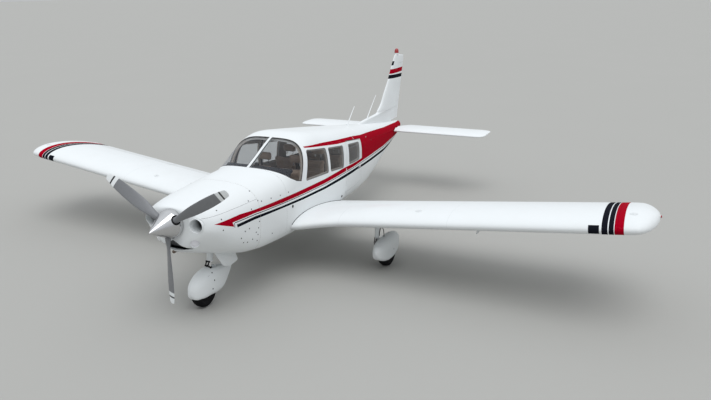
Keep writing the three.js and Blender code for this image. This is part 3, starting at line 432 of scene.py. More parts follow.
def wing_paint(colours, name="wing_paint", grey=0.0):
    """White wing paint with three bands near the tip and rows of rivets."""
    sheet = Sheet(name)
    station, y, z = sheet.axes()
    dihedral = WING["dihedral"]
    out = abs(y) * math.cos(dihedral) + (z - WING["root_z"] * MM) * math.sin(dihedral)
    black = out.between(4.457, 4.519) | out.between(4.530, 4.581)
    black = black | out.between(4.320, 4.433) * (station < 2.62)
    red = out.between(4.588, 4.682)
    # The third argument is a share of painted shade; it darkens the white of the flaps and ailerons.
    base = tuple(channel * (1 - grey) for channel in colours.white)
    ribs = (0.9, 1.15, 1.5, 1.9, 2.3, 2.7, 3.1, 3.5, 3.9, 4.25)
    cuts = seams(out, (1.2, 2.7, 4.62)) | seams(station, (3.36,))
    dots = rivets(station, out, ribs) | rivets(out, station, (2.68, 3.34, 3.38, 3.70))
    colour = sheet.shade(cuts * 0.35, striped(sheet, colours, base, red, black), (0.4, 0.4, 0.42))
    return gloss(sheet, colour, dots * 0.4 - cuts, red | black)


def fin_paint(colours):
    """White fin paint with a red and a black band across it."""
    sheet = Sheet("fin_paint")
    station, _, z = sheet.axes()
    red = (z + (station - 7.75) * 0.015).between(2.267, 2.355)
    black = (z + (station - 7.68) * 0.046).between(2.177, 2.250)
    black = black | z.between(2.425, 2.505) * (station - (z - 2.42) * 0.76 < 7.865)
    dots = rivets(station, z, (1.60, 1.86, 2.12)) | rivets(z, station, (7.86,))
    colour = striped(sheet, colours, colours.white, red, black)
    return gloss(sheet, colour, dots * 0.4 - seams(z, (1.62, 2.448)), red | black)


def tail_paint(colours):
    """White stabilator paint with rows of rivets."""
    sheet = Sheet("stabilator_paint")
    station, y, _ = sheet.axes()
    dots = rivets(station, abs(y), (0.45, 0.85, 1.25, 1.65)) | rivets(y, station, (7.60, 7.74, 8.12))
    return gloss(sheet, colours.white, dots * 0.4)


def plain_paint(colours, name="plain_paint", shade=1.0):
    """White paint without stripes, for fairings and struts."""
    return gloss(Sheet(name), tuple(channel * shade for channel in colours.white))


def blade_paint(colours):
    """Satin grey blades with white tips crossed by one thin dark line, by distance from the shaft."""
    sheet = Sheet("blade_paint")
    _, y, z = sheet.axes()
    rise = z - THRUST * MM
    reach = (y * y + rise * rise).power(0.5)
    worn = sheet.ramp(sheet.noise(30.0, 5.0), 0.45, 0.8)
    colour = sheet.blend(reach > 0.862, colours.blade, colours.white)
    colour = sheet.blend(reach.between(0.912, 0.934), colour, (0.03, 0.03, 0.033))
    return sheet.done(
        Base_Color=sheet.shade(worn * 0.25, colour, (0.7, 0.7, 0.7)), Roughness=0.38 + worn * 0.12,
        Normal=sheet.bump(sheet.noise(700.0, 2.0), 0.0004, 0.3),
    )


def polished_metal(name="polished_metal", tone=0.60, roughness=0.07, swirl=0.35):
    """Bright metal with fine turning marks round the shaft."""
    sheet = Sheet(name)
    stretch = sheet.make("VectorMath", {"operation": "MULTIPLY"}, {0: sheet.spot(), 1: (900.0, 14.0, 14.0)})
    marks = sheet.noise(1.0, 4.0, stretch)
    stains = sheet.ramp(sheet.noise(9.0, 5.0), 0.4, 0.8)
    return sheet.done(
        Base_Color=sheet.shade(stains * 0.25, (tone, tone, tone * 1.01), (0.82, 0.80, 0.77)), Metallic=1.0,
        Roughness=roughness + marks * 0.05 * swirl + stains * 0.05,
        Normal=sheet.bump(marks, 0.0003, 0.2 * swirl),
    )


def metal(name, tone, roughness):
    """Plain metal, such as plated steel or a casting."""
    sheet = Sheet(name)
    patches = sheet.noise(40.0, 5.0)
    return sheet.done(
        Base_Color=sheet.shade(patches * 0.5, tone, (0.6, 0.58, 0.55)), Metallic=0.9,
        Roughness=roughness + patches * 0.12, Normal=sheet.bump(sheet.noise(500.0, 3.0), 0.0005, 0.3),
    )


def plastic(name, tone, roughness=0.6, grain=1.0, scale=700.0):
    """Moulded plastic or rubber with a fine grain."""
    sheet = Sheet(name)
    wear = sheet.noise(12.0, 4.0)
    return sheet.done(
        Base_Color=sheet.shade(wear * 0.35, tone, (0.55, 0.55, 0.55)), Roughness=roughness + wear * 0.1,
        Normal=sheet.bump(sheet.noise(scale, 2.0), 0.0006, 0.35 * grain),
    )


def tyre_rubber():
    """Black tyre rubber, dusty on the tread."""
    sheet = Sheet("tyre_rubber")
    dusty = sheet.ramp(sheet.noise(25.0, 6.0), 0.4, 0.85)
    return sheet.done(
        Base_Color=sheet.blend(dusty * 0.3, (0.006, 0.006, 0.007), (0.035, 0.033, 0.03)),
        Roughness=0.72 + dusty * 0.15, Specular_IOR_Level=0.1,
        Normal=sheet.bump(sheet.noise(350.0, 4.0), 0.0008, 0.5),
    )


def leather(colours):
    """Soft seat leather with pores, creases and paler worn places."""
    sheet = Sheet("seat_leather")
    pores = sheet.make("TexVoronoi", None, {"Vector": sheet.spot(), "Scale": 420.0})
    creases = sheet.noise(35.0, 6.0)
    worn = sheet.ramp(sheet.noise(6.0, 5.0), 0.4, 0.75)
    return sheet.done(
        Base_Color=sheet.blend(worn * 0.35, colours.leather, (0.42, 0.34, 0.27)),
        Roughness=0.50 + worn * 0.12, Sheen_Weight=0.15,
        Normal=sheet.bump(pores * 0.5 + creases * 1.5, 0.0012, 0.5),
    )


def woven(name, tone, scale=600.0):
    """Carpet or trim cloth with a woven or tufted face."""
    sheet = Sheet(name)
    weave = sheet.waves(scale * 0.5, "X") * sheet.waves(scale * 0.5, "Y")
    shade = sheet.ramp(sheet.noise(7.0, 5.0), 0.3, 0.8)
    return sheet.done(
        Base_Color=sheet.shade(shade * 0.5, tone, (0.6, 0.6, 0.6)), Roughness=0.92, Sheen_Weight=0.3,
        Normal=sheet.bump(weave * 0.5 + sheet.noise(scale, 4.0), 0.0015, 0.6),
    )


def clear(name, tint, shine, rough=0.02, milk=0.02, mirror=0.0):
    """A thin pane: it lets light straight through and reflects more at a slant."""
    sheet = Sheet(name)
    smudge = sheet.ramp(sheet.noise(14.0, 6.0), 0.45, 0.9)
    shiny = sheet.principled(
        Base_Color=(milk, milk, milk * 1.05), Roughness=rough + smudge * 0.06, Metallic=mirror,
        Coat_Weight=1.0, Coat_Roughness=0.02,
    )
    through = sheet.make("BsdfTransparent", None, {"Color": tint})
    slant = sheet.make("LayerWeight", None, {"Blend": 0.5}, 1).power(5.0)
    return sheet.done(sheet.make("MixShader", None, {0: slant * 0.6 + shine, 1: through, 2: shiny}))


def lamp_glass(name, tone):
    """Coloured lamp glass with a ribbed face."""
    sheet = Sheet(name)
    smears = sheet.noise(60.0, 3.0)
    return sheet.done(
        Base_Color=sheet.shade(smears * 0.3, tone, (0.7, 0.7, 0.7)), Roughness=0.08 + smears * 0.08,
        Coat_Weight=1.0, Normal=sheet.bump(sheet.waves(60.0, "Z"), 0.0008, 0.5),
    )


def dial_faces():
    """A black instrument face with pale ticks round it."""
    sheet = Sheet("dial_face")
    sockets = {"Vector": sheet.spot(), "Scale": 90.0}
    ticks = sheet.make("TexVoronoi", {"feature": "DISTANCE_TO_EDGE"}, sockets) < 0.03
    colour = sheet.blend(ticks * 0.5, (0.01, 0.01, 0.012), (0.5, 0.5, 0.48))
    return sheet.done(Base_Color=colour, Roughness=0.25, Coat_Weight=1.0)


# Mesh tools


def place(station, y, z):
    """A point from its station, distance to the left and height, in millimetres."""
    return Vector(((MID - station) * MM, y * MM, z * MM))


def choose(*pieces):
    """Selects these pieces alone, the first one active."""
    bpy.ops.object.select_all(action="DESELECT")
    for piece in pieces:
        piece.select_set(True)
    bpy.context.view_layer.objects.active = pieces[0]
    return pieces[0]


def linked(name, data):
    """A new object in the scene."""
    piece = bpy.data.objects.new(name, data)
    bpy.context.scene.collection.objects.link(piece)
    return piece


def from_points(name, points, faces):
    """A mesh from points and faces, turned so that its faces point outwards."""
    volume = 0
    for face in faces:
        a = points[face[0]]
        for i in range(1, len(face) - 1):
            volume += a.dot(points[face[i]].cross(points[face[i + 1]]))
    if volume < 0:
        faces = [tuple(reversed(face)) for face in faces]
    mesh = bpy.data.meshes.new(name)
    mesh.from_pydata([tuple(point) for point in points], [], faces)
    mesh.update()
    return linked(name, mesh)


def loft(name, rings, wrap=False):
    """Joins rings of points into a closed skin, with a cap at each end unless it wraps round."""
    count, total = len(rings[0]), len(rings)
    faces = []
    for r in range(total if wrap else total - 1):
        a, b = r * count, ((r + 1) % total) * count
        for i in range(count):
            j = (i + 1) % count
            faces.append((a + i, a + j, b + j, b + i))
    if not wrap:
        faces.append(tuple(reversed(range(count))))
        faces.append(tuple(range((total - 1) * count, total * count)))
    return from_points(name, [point for ring in rings for point in ring], faces)


def prism(outline, y1=-FAR, y2=FAR, name="tool"):
    """A prism across the aircraft, from its outline seen from the side as station and z."""
    return loft(name, [[place(s, y, z) for s, z in outline] for y in (y1, y2)])


def prism_along(outline, s1, s2, name="tool"):
    """A prism along the aircraft, from its outline seen from the front as y and z."""
    return loft(name, [[place(s, y, z) for y, z in outline] for s in (s1, s2)])


def prism_down(outline, z1=0, z2=FAR, name="tool"):
    """An upright prism, from its outline seen from above as station and y."""
    return loft(name, [[place(s, y, z) for s, y in outline] for z in (z1, z2)])


def settled(name, bevel):
    """Names the primitive that was just added, applies its place and rounds its edges."""
    piece = bpy.context.active_object
    piece.name = name
    bpy.ops.object.transform_apply(location=True, rotation=True, scale=True)
    return rounded(piece, bevel) if bevel else piece


def block(low, high, name="tool", bevel=0):
    """A box between two corners given as station, y and z, its edges rounded by a bevel."""
    a, b = place(*low), place(*high)
    bpy.ops.object.select_all(action="DESELECT")
    bpy.ops.mesh.primitive_cube_add(size=1, location=(a + b) / 2)
    bpy.context.active_object.scale = [abs(b[axis] - a[axis]) for axis in range(3)]
    return settled(name, bevel)


def modify(piece, kind, **settings):
    """Adds a modifier to a piece, sets it and applies it."""
    modifier = piece.modifiers.new(kind.lower(), kind)
    for key, value in settings.items():
        setattr(modifier, key, value)
    choose(piece)
    bpy.ops.object.modifier_apply(modifier=modifier.name)
    return piece


def rounded(piece, width, segments=2, angle=35):
    """Rounds the edges of a piece that are sharper than an angle."""
    limit = {"limit_method": "ANGLE", "angle_limit": math.radians(angle)}
    return modify(piece, "BEVEL", width=width * MM, segments=segments, **limit)


def rod(start, end, radius1, radius2=None, sides=32, name="tool", bevel=0):
    """A round rod between two points given as station, y and z."""
    a, b = place(*start), place(*end)
    along = b - a
    bpy.ops.object.select_all(action="DESELECT")
    bpy.ops.mesh.primitive_cone_add(
        vertices=sides, radius1=radius1 * MM, radius2=(radius1 if radius2 is None else radius2) * MM,
        depth=along.length, location=(a + b) / 2, rotation=along.to_track_quat("Z", "Y").to_euler(),
    )
    return settled(name, bevel)


def lathe(name, profile, centre, axis, sides=64):
    """Turns a profile of (along, radius) round an axis through a place, in millimetres."""
    centre, turn = place(*centre), Vector(axis).to_track_quat("Z", "Y")
    rings = []
    for along, radius in profile:
        ring = []
        for i in range(sides):
            angle = 2 * math.pi * i / sides
            spot = Vector((radius * math.cos(angle), radius * math.sin(angle), along)) * MM
            ring.append(centre + turn @ spot)
        rings.append(ring)
    return loft(name, rings, wrap=profile[0] == profile[-1])


def wire(name, points, radius, sides=8, closed=False):
    """A round wire of one thickness through points given as station, y and z."""
    curve = bpy.data.curves.new(name, "CURVE")
    curve.dimensions = "3D"
    curve.bevel_depth, curve.bevel_resolution = radius * MM, max(0, sides // 4 - 1)
    curve.use_fill_caps = True
    spline = curve.splines.new("POLY")
    spline.points.add(len(points) - 1)
    for knot, point in zip(spline.points, points):
        knot.co = (*place(*point), 1)
    spline.use_cyclic_u = closed
    choose(linked(name, curve))
    bpy.ops.object.convert(target="MESH")
    return bpy.context.active_object


def copy_of(piece, name):
    """A copy with its own mesh."""
    return linked(name, piece.data.copy())


def mirrored(piece, name):
    """A copy on the other side of the middle, its faces turned the right way again."""
    other = copy_of(piece, name)
    other.data.transform(Matrix.Scale(-1, 4, (0, 1, 0)))
    other.data.flip_normals()
    return other


def cut(piece, tool, operation="DIFFERENCE", solver="MANIFOLD"):
    """Cuts, joins or trims a piece by a tool, which is then thrown away."""
    before = len(piece.data.vertices)
    modify(piece, "BOOLEAN", operation=operation, object=tool, solver=solver)
    if solver == "MANIFOLD" and len(piece.data.vertices) == before:
        return cut(piece, tool, operation, "EXACT")
    if not piece.data.polygons:
        raise RuntimeError(f"{piece.name} was cut away by {tool.name}")
    bpy.data.objects.remove(tool)
    return piece


def joined(name, *pieces):
    """Several meshes as one piece."""
    choose(*pieces)
    bpy.ops.object.join()
    pieces[0].name = name
    return pieces[0]


def grow(outline, margin):
    """An outline with every edge moved outwards, or inwards where the margin is negative."""
    count = len(outline)
    turn = sum(a[0] * b[1] - b[0] * a[1] for a, b in zip(outline, (*outline[1:], outline[0])))

    def outwards(a, b):
        size = math.copysign(math.dist(a, b), turn)
        return (b[1] - a[1]) / size, (a[0] - b[0]) / size

    moved = []
    for i, point in enumerate(outline):
        first = outwards(outline[i - 1], point)
        second = outwards(point, outline[(i + 1) % count])
        reach = margin / (1 + first[0] * second[0] + first[1] * second[1])
        moved.append((point[0] + reach * (first[0] + second[0]), point[1] + reach * (first[1] + second[1])))
    return moved


def softened(outline, radius, steps=5):
    """An outline with its corners rounded."""
    soft = []
    for i, corner in enumerate(outline):
        a, b = (
            [corner[k] + (end[k] - corner[k]) * min(radius / math.dist(end, corner), 0.45) for k in (0, 1)]
            for end in (outline[i - 1], outline[(i + 1) % len(outline)])
        )
        for step in range(steps + 1):
            t = step / steps
            u = 1 - t
            soft.append(tuple(u**2 * a[k] + 2 * t * u * corner[k] + t * t * b[k] for k in (0, 1)))
    return soft


def finish(piece, look, body="airframe", node=None, angle=32, inside=None):
    """Gives a finished piece its look, its shading, its body, its slot and the node it stands for."""
    piece.data.materials.clear()
    piece.data.materials.append(LOOKS[look])
    if inside:
        inner_look, depth = inside
        piece.data.materials.append(LOOKS[inner_look])
        line_inside(piece, depth)
    choose(piece)
    bpy.ops.object.shade_smooth_by_angle(angle=math.radians(angle))
    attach(piece, body)
    if node:
        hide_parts(node)
    return piece


# Body shape


def smooth(table, at, column, fenced=False):
    """A value from a table by a cubic through each row and its neighbours."""
    index = max(next((i for i, row in enumerate(table) if row[0] >= at), len(table) - 1), 1)
    a, b = table[index - 1], table[index]
    before, after = table[max(index - 2, 0)], table[min(index + 1, len(table) - 1)]
    span = b[0] - a[0]
    t = min(max((at - a[0]) / span, 0), 1)
    slope_a = (b[column] - before[column]) / (b[0] - before[0]) * span
    slope_b = (after[column] - a[column]) / (after[0] - a[0]) * span
    t2, t3 = t * t, t * t * t
    value = (
        (2 * t3 - 3 * t2 + 1) * a[column] + (t3 - 2 * t2 + t) * slope_a
        + (3 * t2 - 2 * t3) * b[column] + (t3 - t2) * slope_b
    )
    if fenced:
        value = min(max(value, min(a[column], b[column])), max(a[column], b[column]))
    return value


def section_at(table, at):
    """Every column of a table after its first, at a place in it, without overshoot."""
    return [smooth(table, at, column, True) for column in range(1, len(table[0]))]


@cache
def body_at(station):
    """Bottom, top, half width, widest height and the two exponents of the body at a station."""
    return [smooth(BODY, station, column) for column in range(1, 7)]


AROUND = 112
DENSE = 720


def numbers(point):
    """Station, distance to the left and height of a point, in millimetres."""
    return MID - point.x / MM, point.y / MM, point.z / MM


def body_ring(station, inset=0):
    """One evenly spaced ring of the body's skin, or below it."""
    low, high, half, wide, above, below = body_at(round(station, 1))
    loop = []
    for i in range(DENSE + 1):
        angle = 2 * math.pi * i / DENSE - math.pi / 2
        c, s = math.cos(angle), math.sin(angle)
        power = 2 / (above if s > 0 else below)
        height = high - inset - wide if s > 0 else wide - low - inset
        y = (half - inset) * math.copysign(abs(c) ** power, c)
        loop.append((y, wide + height * math.copysign(abs(s) ** power, s)))
    steps = [math.dist(a, b) for a, b in zip(loop, loop[1:])]
    total = sum(steps)
    ring, walked, k = [], 0.0, 0
    for i in range(AROUND):
        goal = total * i / AROUND
        while walked + steps[k] < goal:
            walked += steps[k]
            k += 1
        t = (goal - walked) / max(steps[k], 1e-9)
        (y1, z1), (y2, z2) = loop[k], loop[k + 1]
        ring.append(place(station, y1 + (y2 - y1) * t, z1 + (z2 - z1) * t))
    return ring


def stations(start, end, step):
    """Even stations between two, closer together at the blunt front."""
    places = [start]
    while places[-1] < end - 1:
        stride = 9 if places[-1] < 600 else 25 if places[-1] < 760 else step
        places.append(min(places[-1] + stride, end))
    if len(places) > 2 and places[-1] - places[-2] < step / 3:
        places.pop(-2)
    return places


def hull(name, start, end, inset=0, step=55):
    """The body between two stations, at a depth below its skin, as a solid."""
    return loft(name, [body_ring(s, inset) for s in stations(start, end, step)])


def hull_tube(name, start, end, outer, inner, step=45):
    """A thin sleeve of the body's skin between two depths."""
    places = stations(start, end, step)
    rings = [body_ring(s, outer) for s in places] + [body_ring(s, inner) for s in reversed(places)]
    return loft(name, rings, wrap=True)


def patch(name, outline, outer, inner, y1, y2, hole=None, hole_y=None, step=30):
    """A piece of skin inside an outline seen from the side, with or without a hole."""
    reach = [station for station, _ in outline]
    start, end = max(min(reach) - 15, NOSE_REAR - 20), max(reach) + 15
    piece = hull_tube(name, start, end, outer, inner, step)
    cut(piece, prism(outline, y1, y2), "INTERSECT")
    if hole:
        cut(piece, prism(hole, *(hole_y or (y1, y2))))
    return piece


def quarter(station, z, inset=0):
    """Half width, widest height, reach and exponent of the body's upper or lower part, below its skin."""
    low, high, half, wide, above, below = body_at(round(station, 1))
    reach, power = (high - inset - wide, above) if z > wide else (wide - low - inset, below)
    return half - inset, wide, reach, power


def skin_y(station, z, inset=0):
    """Distance from the middle to the skin at a station and height."""
    half, wide, reach, power = quarter(station, z, inset)
    return half * max(1 - min(abs(z - wide) / reach, 1) ** power, 0) ** (1 / power)


def skin_station(y, z):
    """Station of the blunt front skin at a place seen from the front."""
    a, b = COWL_FRONT, 900
    if skin_y(a, z) >= abs(y):
        return a
    while b - a > 0.5:
        middle = (a + b) / 2
        a, b = (a, middle) if skin_y(middle, z) >= abs(y) else (middle, b)
    return b


def skin_normal(station, z, side=1):
    """The direction square to the skin at a station and height, on one side."""
    step = 4
    here = place(station, side * skin_y(station, z), z)
    along = place(station + step, side * skin_y(station + step, z), z) - here
    up = place(station, side * skin_y(station, z + step), z + step) - here
    normal = along.cross(up).normalized()
    return normal if normal.y * side > 0 else -normal


def line_inside(piece, depth):
    """Gives the faces that look into the cabin the second material."""
    for face in piece.data.polygons:
        station, y, z = numbers(face.center)
        if station < COWL_HOLLOW - 1:
            continue
        half, wide, reach, power = quarter(min(max(station, COWL_FRONT), TAIL_END), z, depth)
        if (abs(y) / half) ** power + (abs(z - wide) / reach) ** power < 1:
            face.material_index = 1


def roof_line(station):
    """Height of the roof's split line."""
    return ROOF_LINE["z"] + (station - ROOF_LINE["station"]) * ROOF_LINE["slope"]


def above_roof_line(margin):
    """All that is above the roof's split line."""
    front, rear = NOSE_REAR - 10, CABIN_REAR + 10
    low = [(s, roof_line(s) + margin) for s in (front, rear)]
    return prism((*low, (rear, FAR), (front, FAR)))


# Fuselage


def build_cowl():
    """The two cowl halves, with inlets, landing lights, chin intake, exhaust and outlet plate."""
    rings = [body_ring(s, inset) for s, inset in COWL_LIP]
    rings += [body_ring(s) for s in stations(445, COWL_REAR - SPLIT_GAP, 45)]
    shell = loft("cowl", rings)
    cut(shell, hull("hollow", COWL_HOLLOW, 1490, COWL_WALL))
    cut(shell, prism_along(CHIN, 370, 580))
    cut(shell, rod((370, 0, THRUST), (580, 0, THRUST), 70))
    cut(shell, block((1300, -150, 500), (1490, 150, 760)))
    cut(shell, rod((1197, 0, 840), (1149, 0, 520), 56))
    cut(shell, rod(*EXHAUST, EXHAUST_RADIUS + 6))
    for side, _ in SIDES:
        y, z = side * INLET["y"], INLET["z"]
        cut(shell, rod((370, y, z), (580, y, z), INLET["radius"], sides=64))
        cut(shell, rod(on_side(LIGHT["from"], side), on_side(LIGHT["to"], side), LIGHT["radius"], sides=48))
    upper = copy_of(shell, "upper_cowl_skin")
    cut(upper, slab_between(0, 1490, COWL_SPLIT + SPLIT_GAP), "INTERSECT")
    shell.name = "lower_cowl_skin"
    cut(shell, slab_between(0, 1490, 0, COWL_SPLIT - SPLIT_GAP), "INTERSECT")
    for piece, node in ((upper, "cowl_upper"), (shell, "cowl_lower")):
        finish(piece, "hull", node=node, inside=("bay", COWL_WALL * 0.8))
    for side, name in SIDES:
        build_inlet(side, name)
        build_landing_light(side, name)
    finish(prism_along(grow(CHIN, -3), 560, 566, "chin_filter"), "bay")
    length, outer, inner = math.dist(*EXHAUST), EXHAUST_RADIUS, EXHAUST_RADIUS - 3
    pipe = ((0, outer), (length, outer), (length, inner), (4, inner), (4, 3), (0, 3), (0, outer))
    pipe = lathe("exhaust_tailpipe", pipe, EXHAUST[0], place(*EXHAUST[1]) - place(*EXHAUST[0]), 40)
    finish(pipe, "exhaust", node="exhaust_pipe")
    plate = prism(softened(OUTLET_PLATE, 40), 195, 205, "outlet_side_plate")
    cut(plate, hull("tool", 900, 1600, -0.5))
    finish(rounded(plate, 3), "plain", node="outlet_baffle")


def on_side(spot, side):
    """A place on the left, or its mirror image on the right."""
    station, y, z = spot
    return station, side * y, z


def slab_between(s1, s2, z1, z2=FAR):
    """All of the body between two stations and two heights."""
    return block((s1, -900, z1), (s2, 900, z2))


def build_inlet(side, name):
    """A round inlet: its lip, its duct and the cylinder fins behind it."""
    y, z, radius = side * INLET["y"], INLET["z"], INLET["radius"]
    lip = []
    for i in range(72):
        turn = 2 * math.pi * i / 72
        across, up = y + (radius + 2) * math.cos(turn), z + (radius + 2) * math.sin(turn)
        lip.append((max(skin_station(across, up), 432) + 3, across, up))
    finish(wire(f"inlet_lip_{name}", lip, 7, 12, closed=True), "plain")
    duct = ((-30, 1), (80, 4), (150, 16), (150, 19), (80, 7), (-30, 4), (-30, 1))
    duct = [(along, radius - less) for along, less in duct]
    finish(lathe(f"inlet_duct_{name}", duct, (485, y, z), (-1, 0, 0)), "duct")
    fins = [rod((628, y, z), (634, y, z), radius - 6, name="inlet_back", sides=48)]
    for i in range(-4, 5):
        half, rise = math.sqrt(max((radius - 20) ** 2 - (i * 15) ** 2, 400)), z + i * 15
        fins.append(block((600, y - half, rise - 1.5), (630, y + half, rise + 1.5), "fin"))
    finish(joined(f"cylinder_fins_{name}", *fins), "dark_metal")


def build_landing_light(side, name):
    """A landing light: a bright bowl, its bulb and a clear lens in a white ring."""
    start, end = (place(*on_side(LIGHT[key], side)) for key in ("from", "to"))
    axis = (end - start).normalized()
    depth = 0.001
    while True:
        station, y, z = numbers(start + axis * depth)
        if station > COWL_FRONT and skin_y(station, z) >= abs(y):
            break
        depth += 0.001
    middle = numbers(start + axis * (depth + 0.006))
    radius = LIGHT["radius"]
    reach = radius - 7
    shares = (0.98, 0.88, 0.75, 0.6, 0.42, 0.22, 0.05)
    bowl = [(4 + 46 * (1 - share * share), reach * share) for share in shares]
    bowl += [(along + 2, r) for along, r in reversed(bowl)]
    ring = ((-4, 1), (-6, 3), (-5, 6), (14, 7), (14, 1), (-4, 1))
    lens = ((-3, 1), (-2.5, reach * 0.46), (-0.5, reach * 0.82), (2, reach), (4, reach), (3, 1))
    bulb = ((12, 1), (13, 6), (20, 9), (30, 8), (38, 5))
    for kind, profile, sides, look in (
        ("ring", [(along, radius - less) for along, less in ring], 48, "plain"),
        ("bowl", (*bowl, bowl[0]), 48, "chrome"), ("lens", lens, 48, "lens"), ("bulb", bulb, 20, "bulb"),
    ):
        finish(lathe(f"light_{kind}_{name}", profile, middle, axis, sides), look)


def build_nose():
    """The nose bay between the cowl and the windshield, with its baggage door."""
    wall = hull("nose_bay_skin", COWL_REAR + SPLIT_GAP, NOSE_REAR)
    cut(wall, hull("hollow", COWL_REAR + WALL, NOSE_REAR - WALL, WALL))
    door = copy_of(wall, "nose_baggage_door_skin")
    outline = DOORS["nose_baggage_door"]
    cut(wall, prism(grow(outline, 6), -FAR, 0))
    cut(door, prism(outline, -FAR, 0), "INTERSECT")
    finish(wall, "hull", node="nose_section", inside=LINED)
    finish(door, "hull", "nose_door", "nose_baggage_door", inside=LINED)


def build_cabin():
    """The cabin's roof, sides and floor, its doors, and the windows in their frames."""
    shell = hull("cabin", NOSE_REAR + 0.4, CABIN_REAR - 0.4, step=45)
    room = hull("room", NOSE_REAR - 10, CABIN_REAR + 10, WALL, 45)
    cut(room, slab_between(0, 8500, FLOOR_TOP), "INTERSECT")
    cut(shell, room)
    cut(shell, prism(SCREEN))
    floor = copy_of(shell, "cabin_belly_skin")
    cut(floor, slab_between(0, 8500, 0, FLOOR_TOP), "INTERSECT")
    roof = copy_of(shell, "cabin_roof_skin")
    cut(roof, above_roof_line(0.4), "INTERSECT")
    post = hull_tube("windshield_centre_post", NOSE_REAR + 0.4, 3100, -1, 30, 25)
    cut(post, block((NOSE_REAR, -20, 0), (3100, 20, FAR)), "INTERSECT")
    cut(post, prism(grow(SCREEN, 8)), "INTERSECT")
    cut(post, slab_between(NOSE_REAR, 2168, 0))
    finish(floor, "hull", node="cabin_floor", inside=LINED)
    finish(roof, "hull", node="cabin_roof", inside=("headliner", WALL * 0.8))
    finish(post, "plain", inside=("lining", 20))
    cut(shell, above_roof_line(0))
    for side, name in SIDES:
        door = "rear_door" if side > 0 else "front_door"
        build_cabin_side(shell, side, name, door)
        build_windshield(side, name)
    bpy.data.objects.remove(shell)


def build_cabin_side(shell, side, name, door):
    """One side wall with its door and three windows."""
    y1, y2 = (0.3, 900) if side > 0 else (-900, -0.3)
    low, high = sorted((side * 100, side * 900))
    wall = copy_of(shell, f"cabin_{name}_skin")
    cut(wall, block((0, y1, FLOOR_TOP + 0.4), (8500, y2, FAR)), "INTERSECT")
    outline = softened(DOORS[door], 45)
    panel = copy_of(wall, f"{door}_skin")
    cut(panel, prism(outline, low, high), "INTERSECT")
    opening = softened(grow(DOORS[door], 8), 50)
    cut(wall, prism(opening, low, high))
    cut(wall, prism([(s, z + 10) for s, z in opening], low, high))
    for kind, window in WINDOWS.items():
        in_door = (door == "rear_door") == (kind == "rear") and kind != "middle"
        cut(panel if in_door else wall, prism(softened(window, 42), low, high))
        soft = softened(grow(window, -1), 41)
        build_window(f"{name}_{kind}", soft, low, high, door if in_door else "airframe")
    finish(wall, "hull", node=f"cabin_side_{name}", inside=LINED)
    finish(panel, "hull", door, door, inside=LINED)
    seal = patch(f"{door}_seal", grow(outline, 20), WALL + 1, WALL + 6, low, high, grow(outline, -16))
    finish(seal, "rubber")


def build_window(name, outline, low, high, body):
    """A pane, the rubber round it and the painted frame outside."""
    finish(patch(f"pane_{name}", outline, 6, 11, low, high), "glass", body, f"window_{name}")
    sizes = bpy.context.scene.aircraft_sizes
    inner = grow(outline, -sizes.gasket_width / MM)
    finish(patch(f"gasket_{name}", outline, 2, 5.7, low, high, inner), "grey_rubber", body)
    inner = grow(outline, -sizes.frame_width / MM)
    finish(patch(f"trim_{name}", outline, 11.3, 30, low, high, inner), "lining", body)


def build_windshield(side, name):
    """One windshield pane and the rubber along its edges."""
    low, high = sorted((side * 21, side * 900))
    edge, inner = grow(SCREEN, -1), sorted((side * 29, side * 900))
    pane = patch(f"windshield_pane_{name}", edge, 6, 11, low, high, step=25)
    finish(pane, "glass", node=f"windshield_{name}")
    gasket = patch(f"windshield_gasket_{name}", edge, 1.5, 5.7, low, high, grow(SCREEN, -11), inner, 25)
    finish(gasket, "rubber")


def build_tail_cone():
    """The rear fuselage."""
    cone = hull("tail_cone_skin", CABIN_REAR, TAIL_END, step=60)
    cut(cone, rod((7725, -340, 1150), (7725, 340, 1150), 36))
    finish(rounded(cone, 4, angle=60), "hull", node="tail_cone")


# Wings and tail


def half_depth(x, thickness):
    """Half the thickness of an aerofoil at a fraction of its chord."""
    rise = 0.2969 * math.sqrt(x) - 0.126 * x - 0.3516 * x**2 + 0.2843 * x**3 - 0.1036 * x**4
    return 5 * thickness * rise


def aerofoil(thickness, camber=0.0, steps=34, blunt=0.0012):
    """An aerofoil section as fractions of its chord, aft and up."""
    section = []
    for i in range(2 * steps):
        upper = i <= steps
        k = i if upper else 2 * steps - i
        x = 0.5 * (1 + math.cos(math.pi * k / steps))
        half = half_depth(x, thickness)
        line = camber * 4 * x * (1 - x)
        section.append((x, line + (half if upper else -half) + (blunt if k == 0 else 0)))
    return [*section, (1, -blunt)]


def chord_z(station):
    """Height of the wing's chord line in the wing's own frame."""
    return -(station - WING["leading"]) * WING["slope"]


def spread(table, *steps):
    """Places between the rows of a table, closer together where a step says so."""
    places = []
    for (a, *_), (b, *_) in zip(table, table[1:]):
        step = next((size for low, high, size in steps if low <= a < high), b - a)
        count = max(1, round((b - a) / step))
        places += [a + (b - a) * i / count for i in range(count)]
    return [*places, table[-1][0]]


def wing_size(out):
    """Leading edge station, chord and thickness of the wing at a distance out."""
    leading, trailing, share = section_at(WING_SECTIONS, out)
    chord = trailing - leading
    return leading, chord, WING["thickness"] * WING["chord"] * share / chord


def wing_ring(out):
    """One section of the wing in its own frame."""
    leading, chord, thickness = wing_size(out)
    section = aerofoil(thickness, WING["camber"])
    return [place(leading + x * chord, out, chord_z(leading + x * chord) + z * chord) for x, z in section]


HINGE_S = WING["leading"] + WING["hinge"] * WING["chord"]
HINGE_Z = chord_z(HINGE_S) + 4 * WING["camber"] * WING["hinge"] * (1 - WING["hinge"]) * WING["chord"]
LIFT = Matrix.Translation((0, 0, WING["root_z"] * MM)) @ Matrix.Rotation(WING["dihedral"], 4, "X")


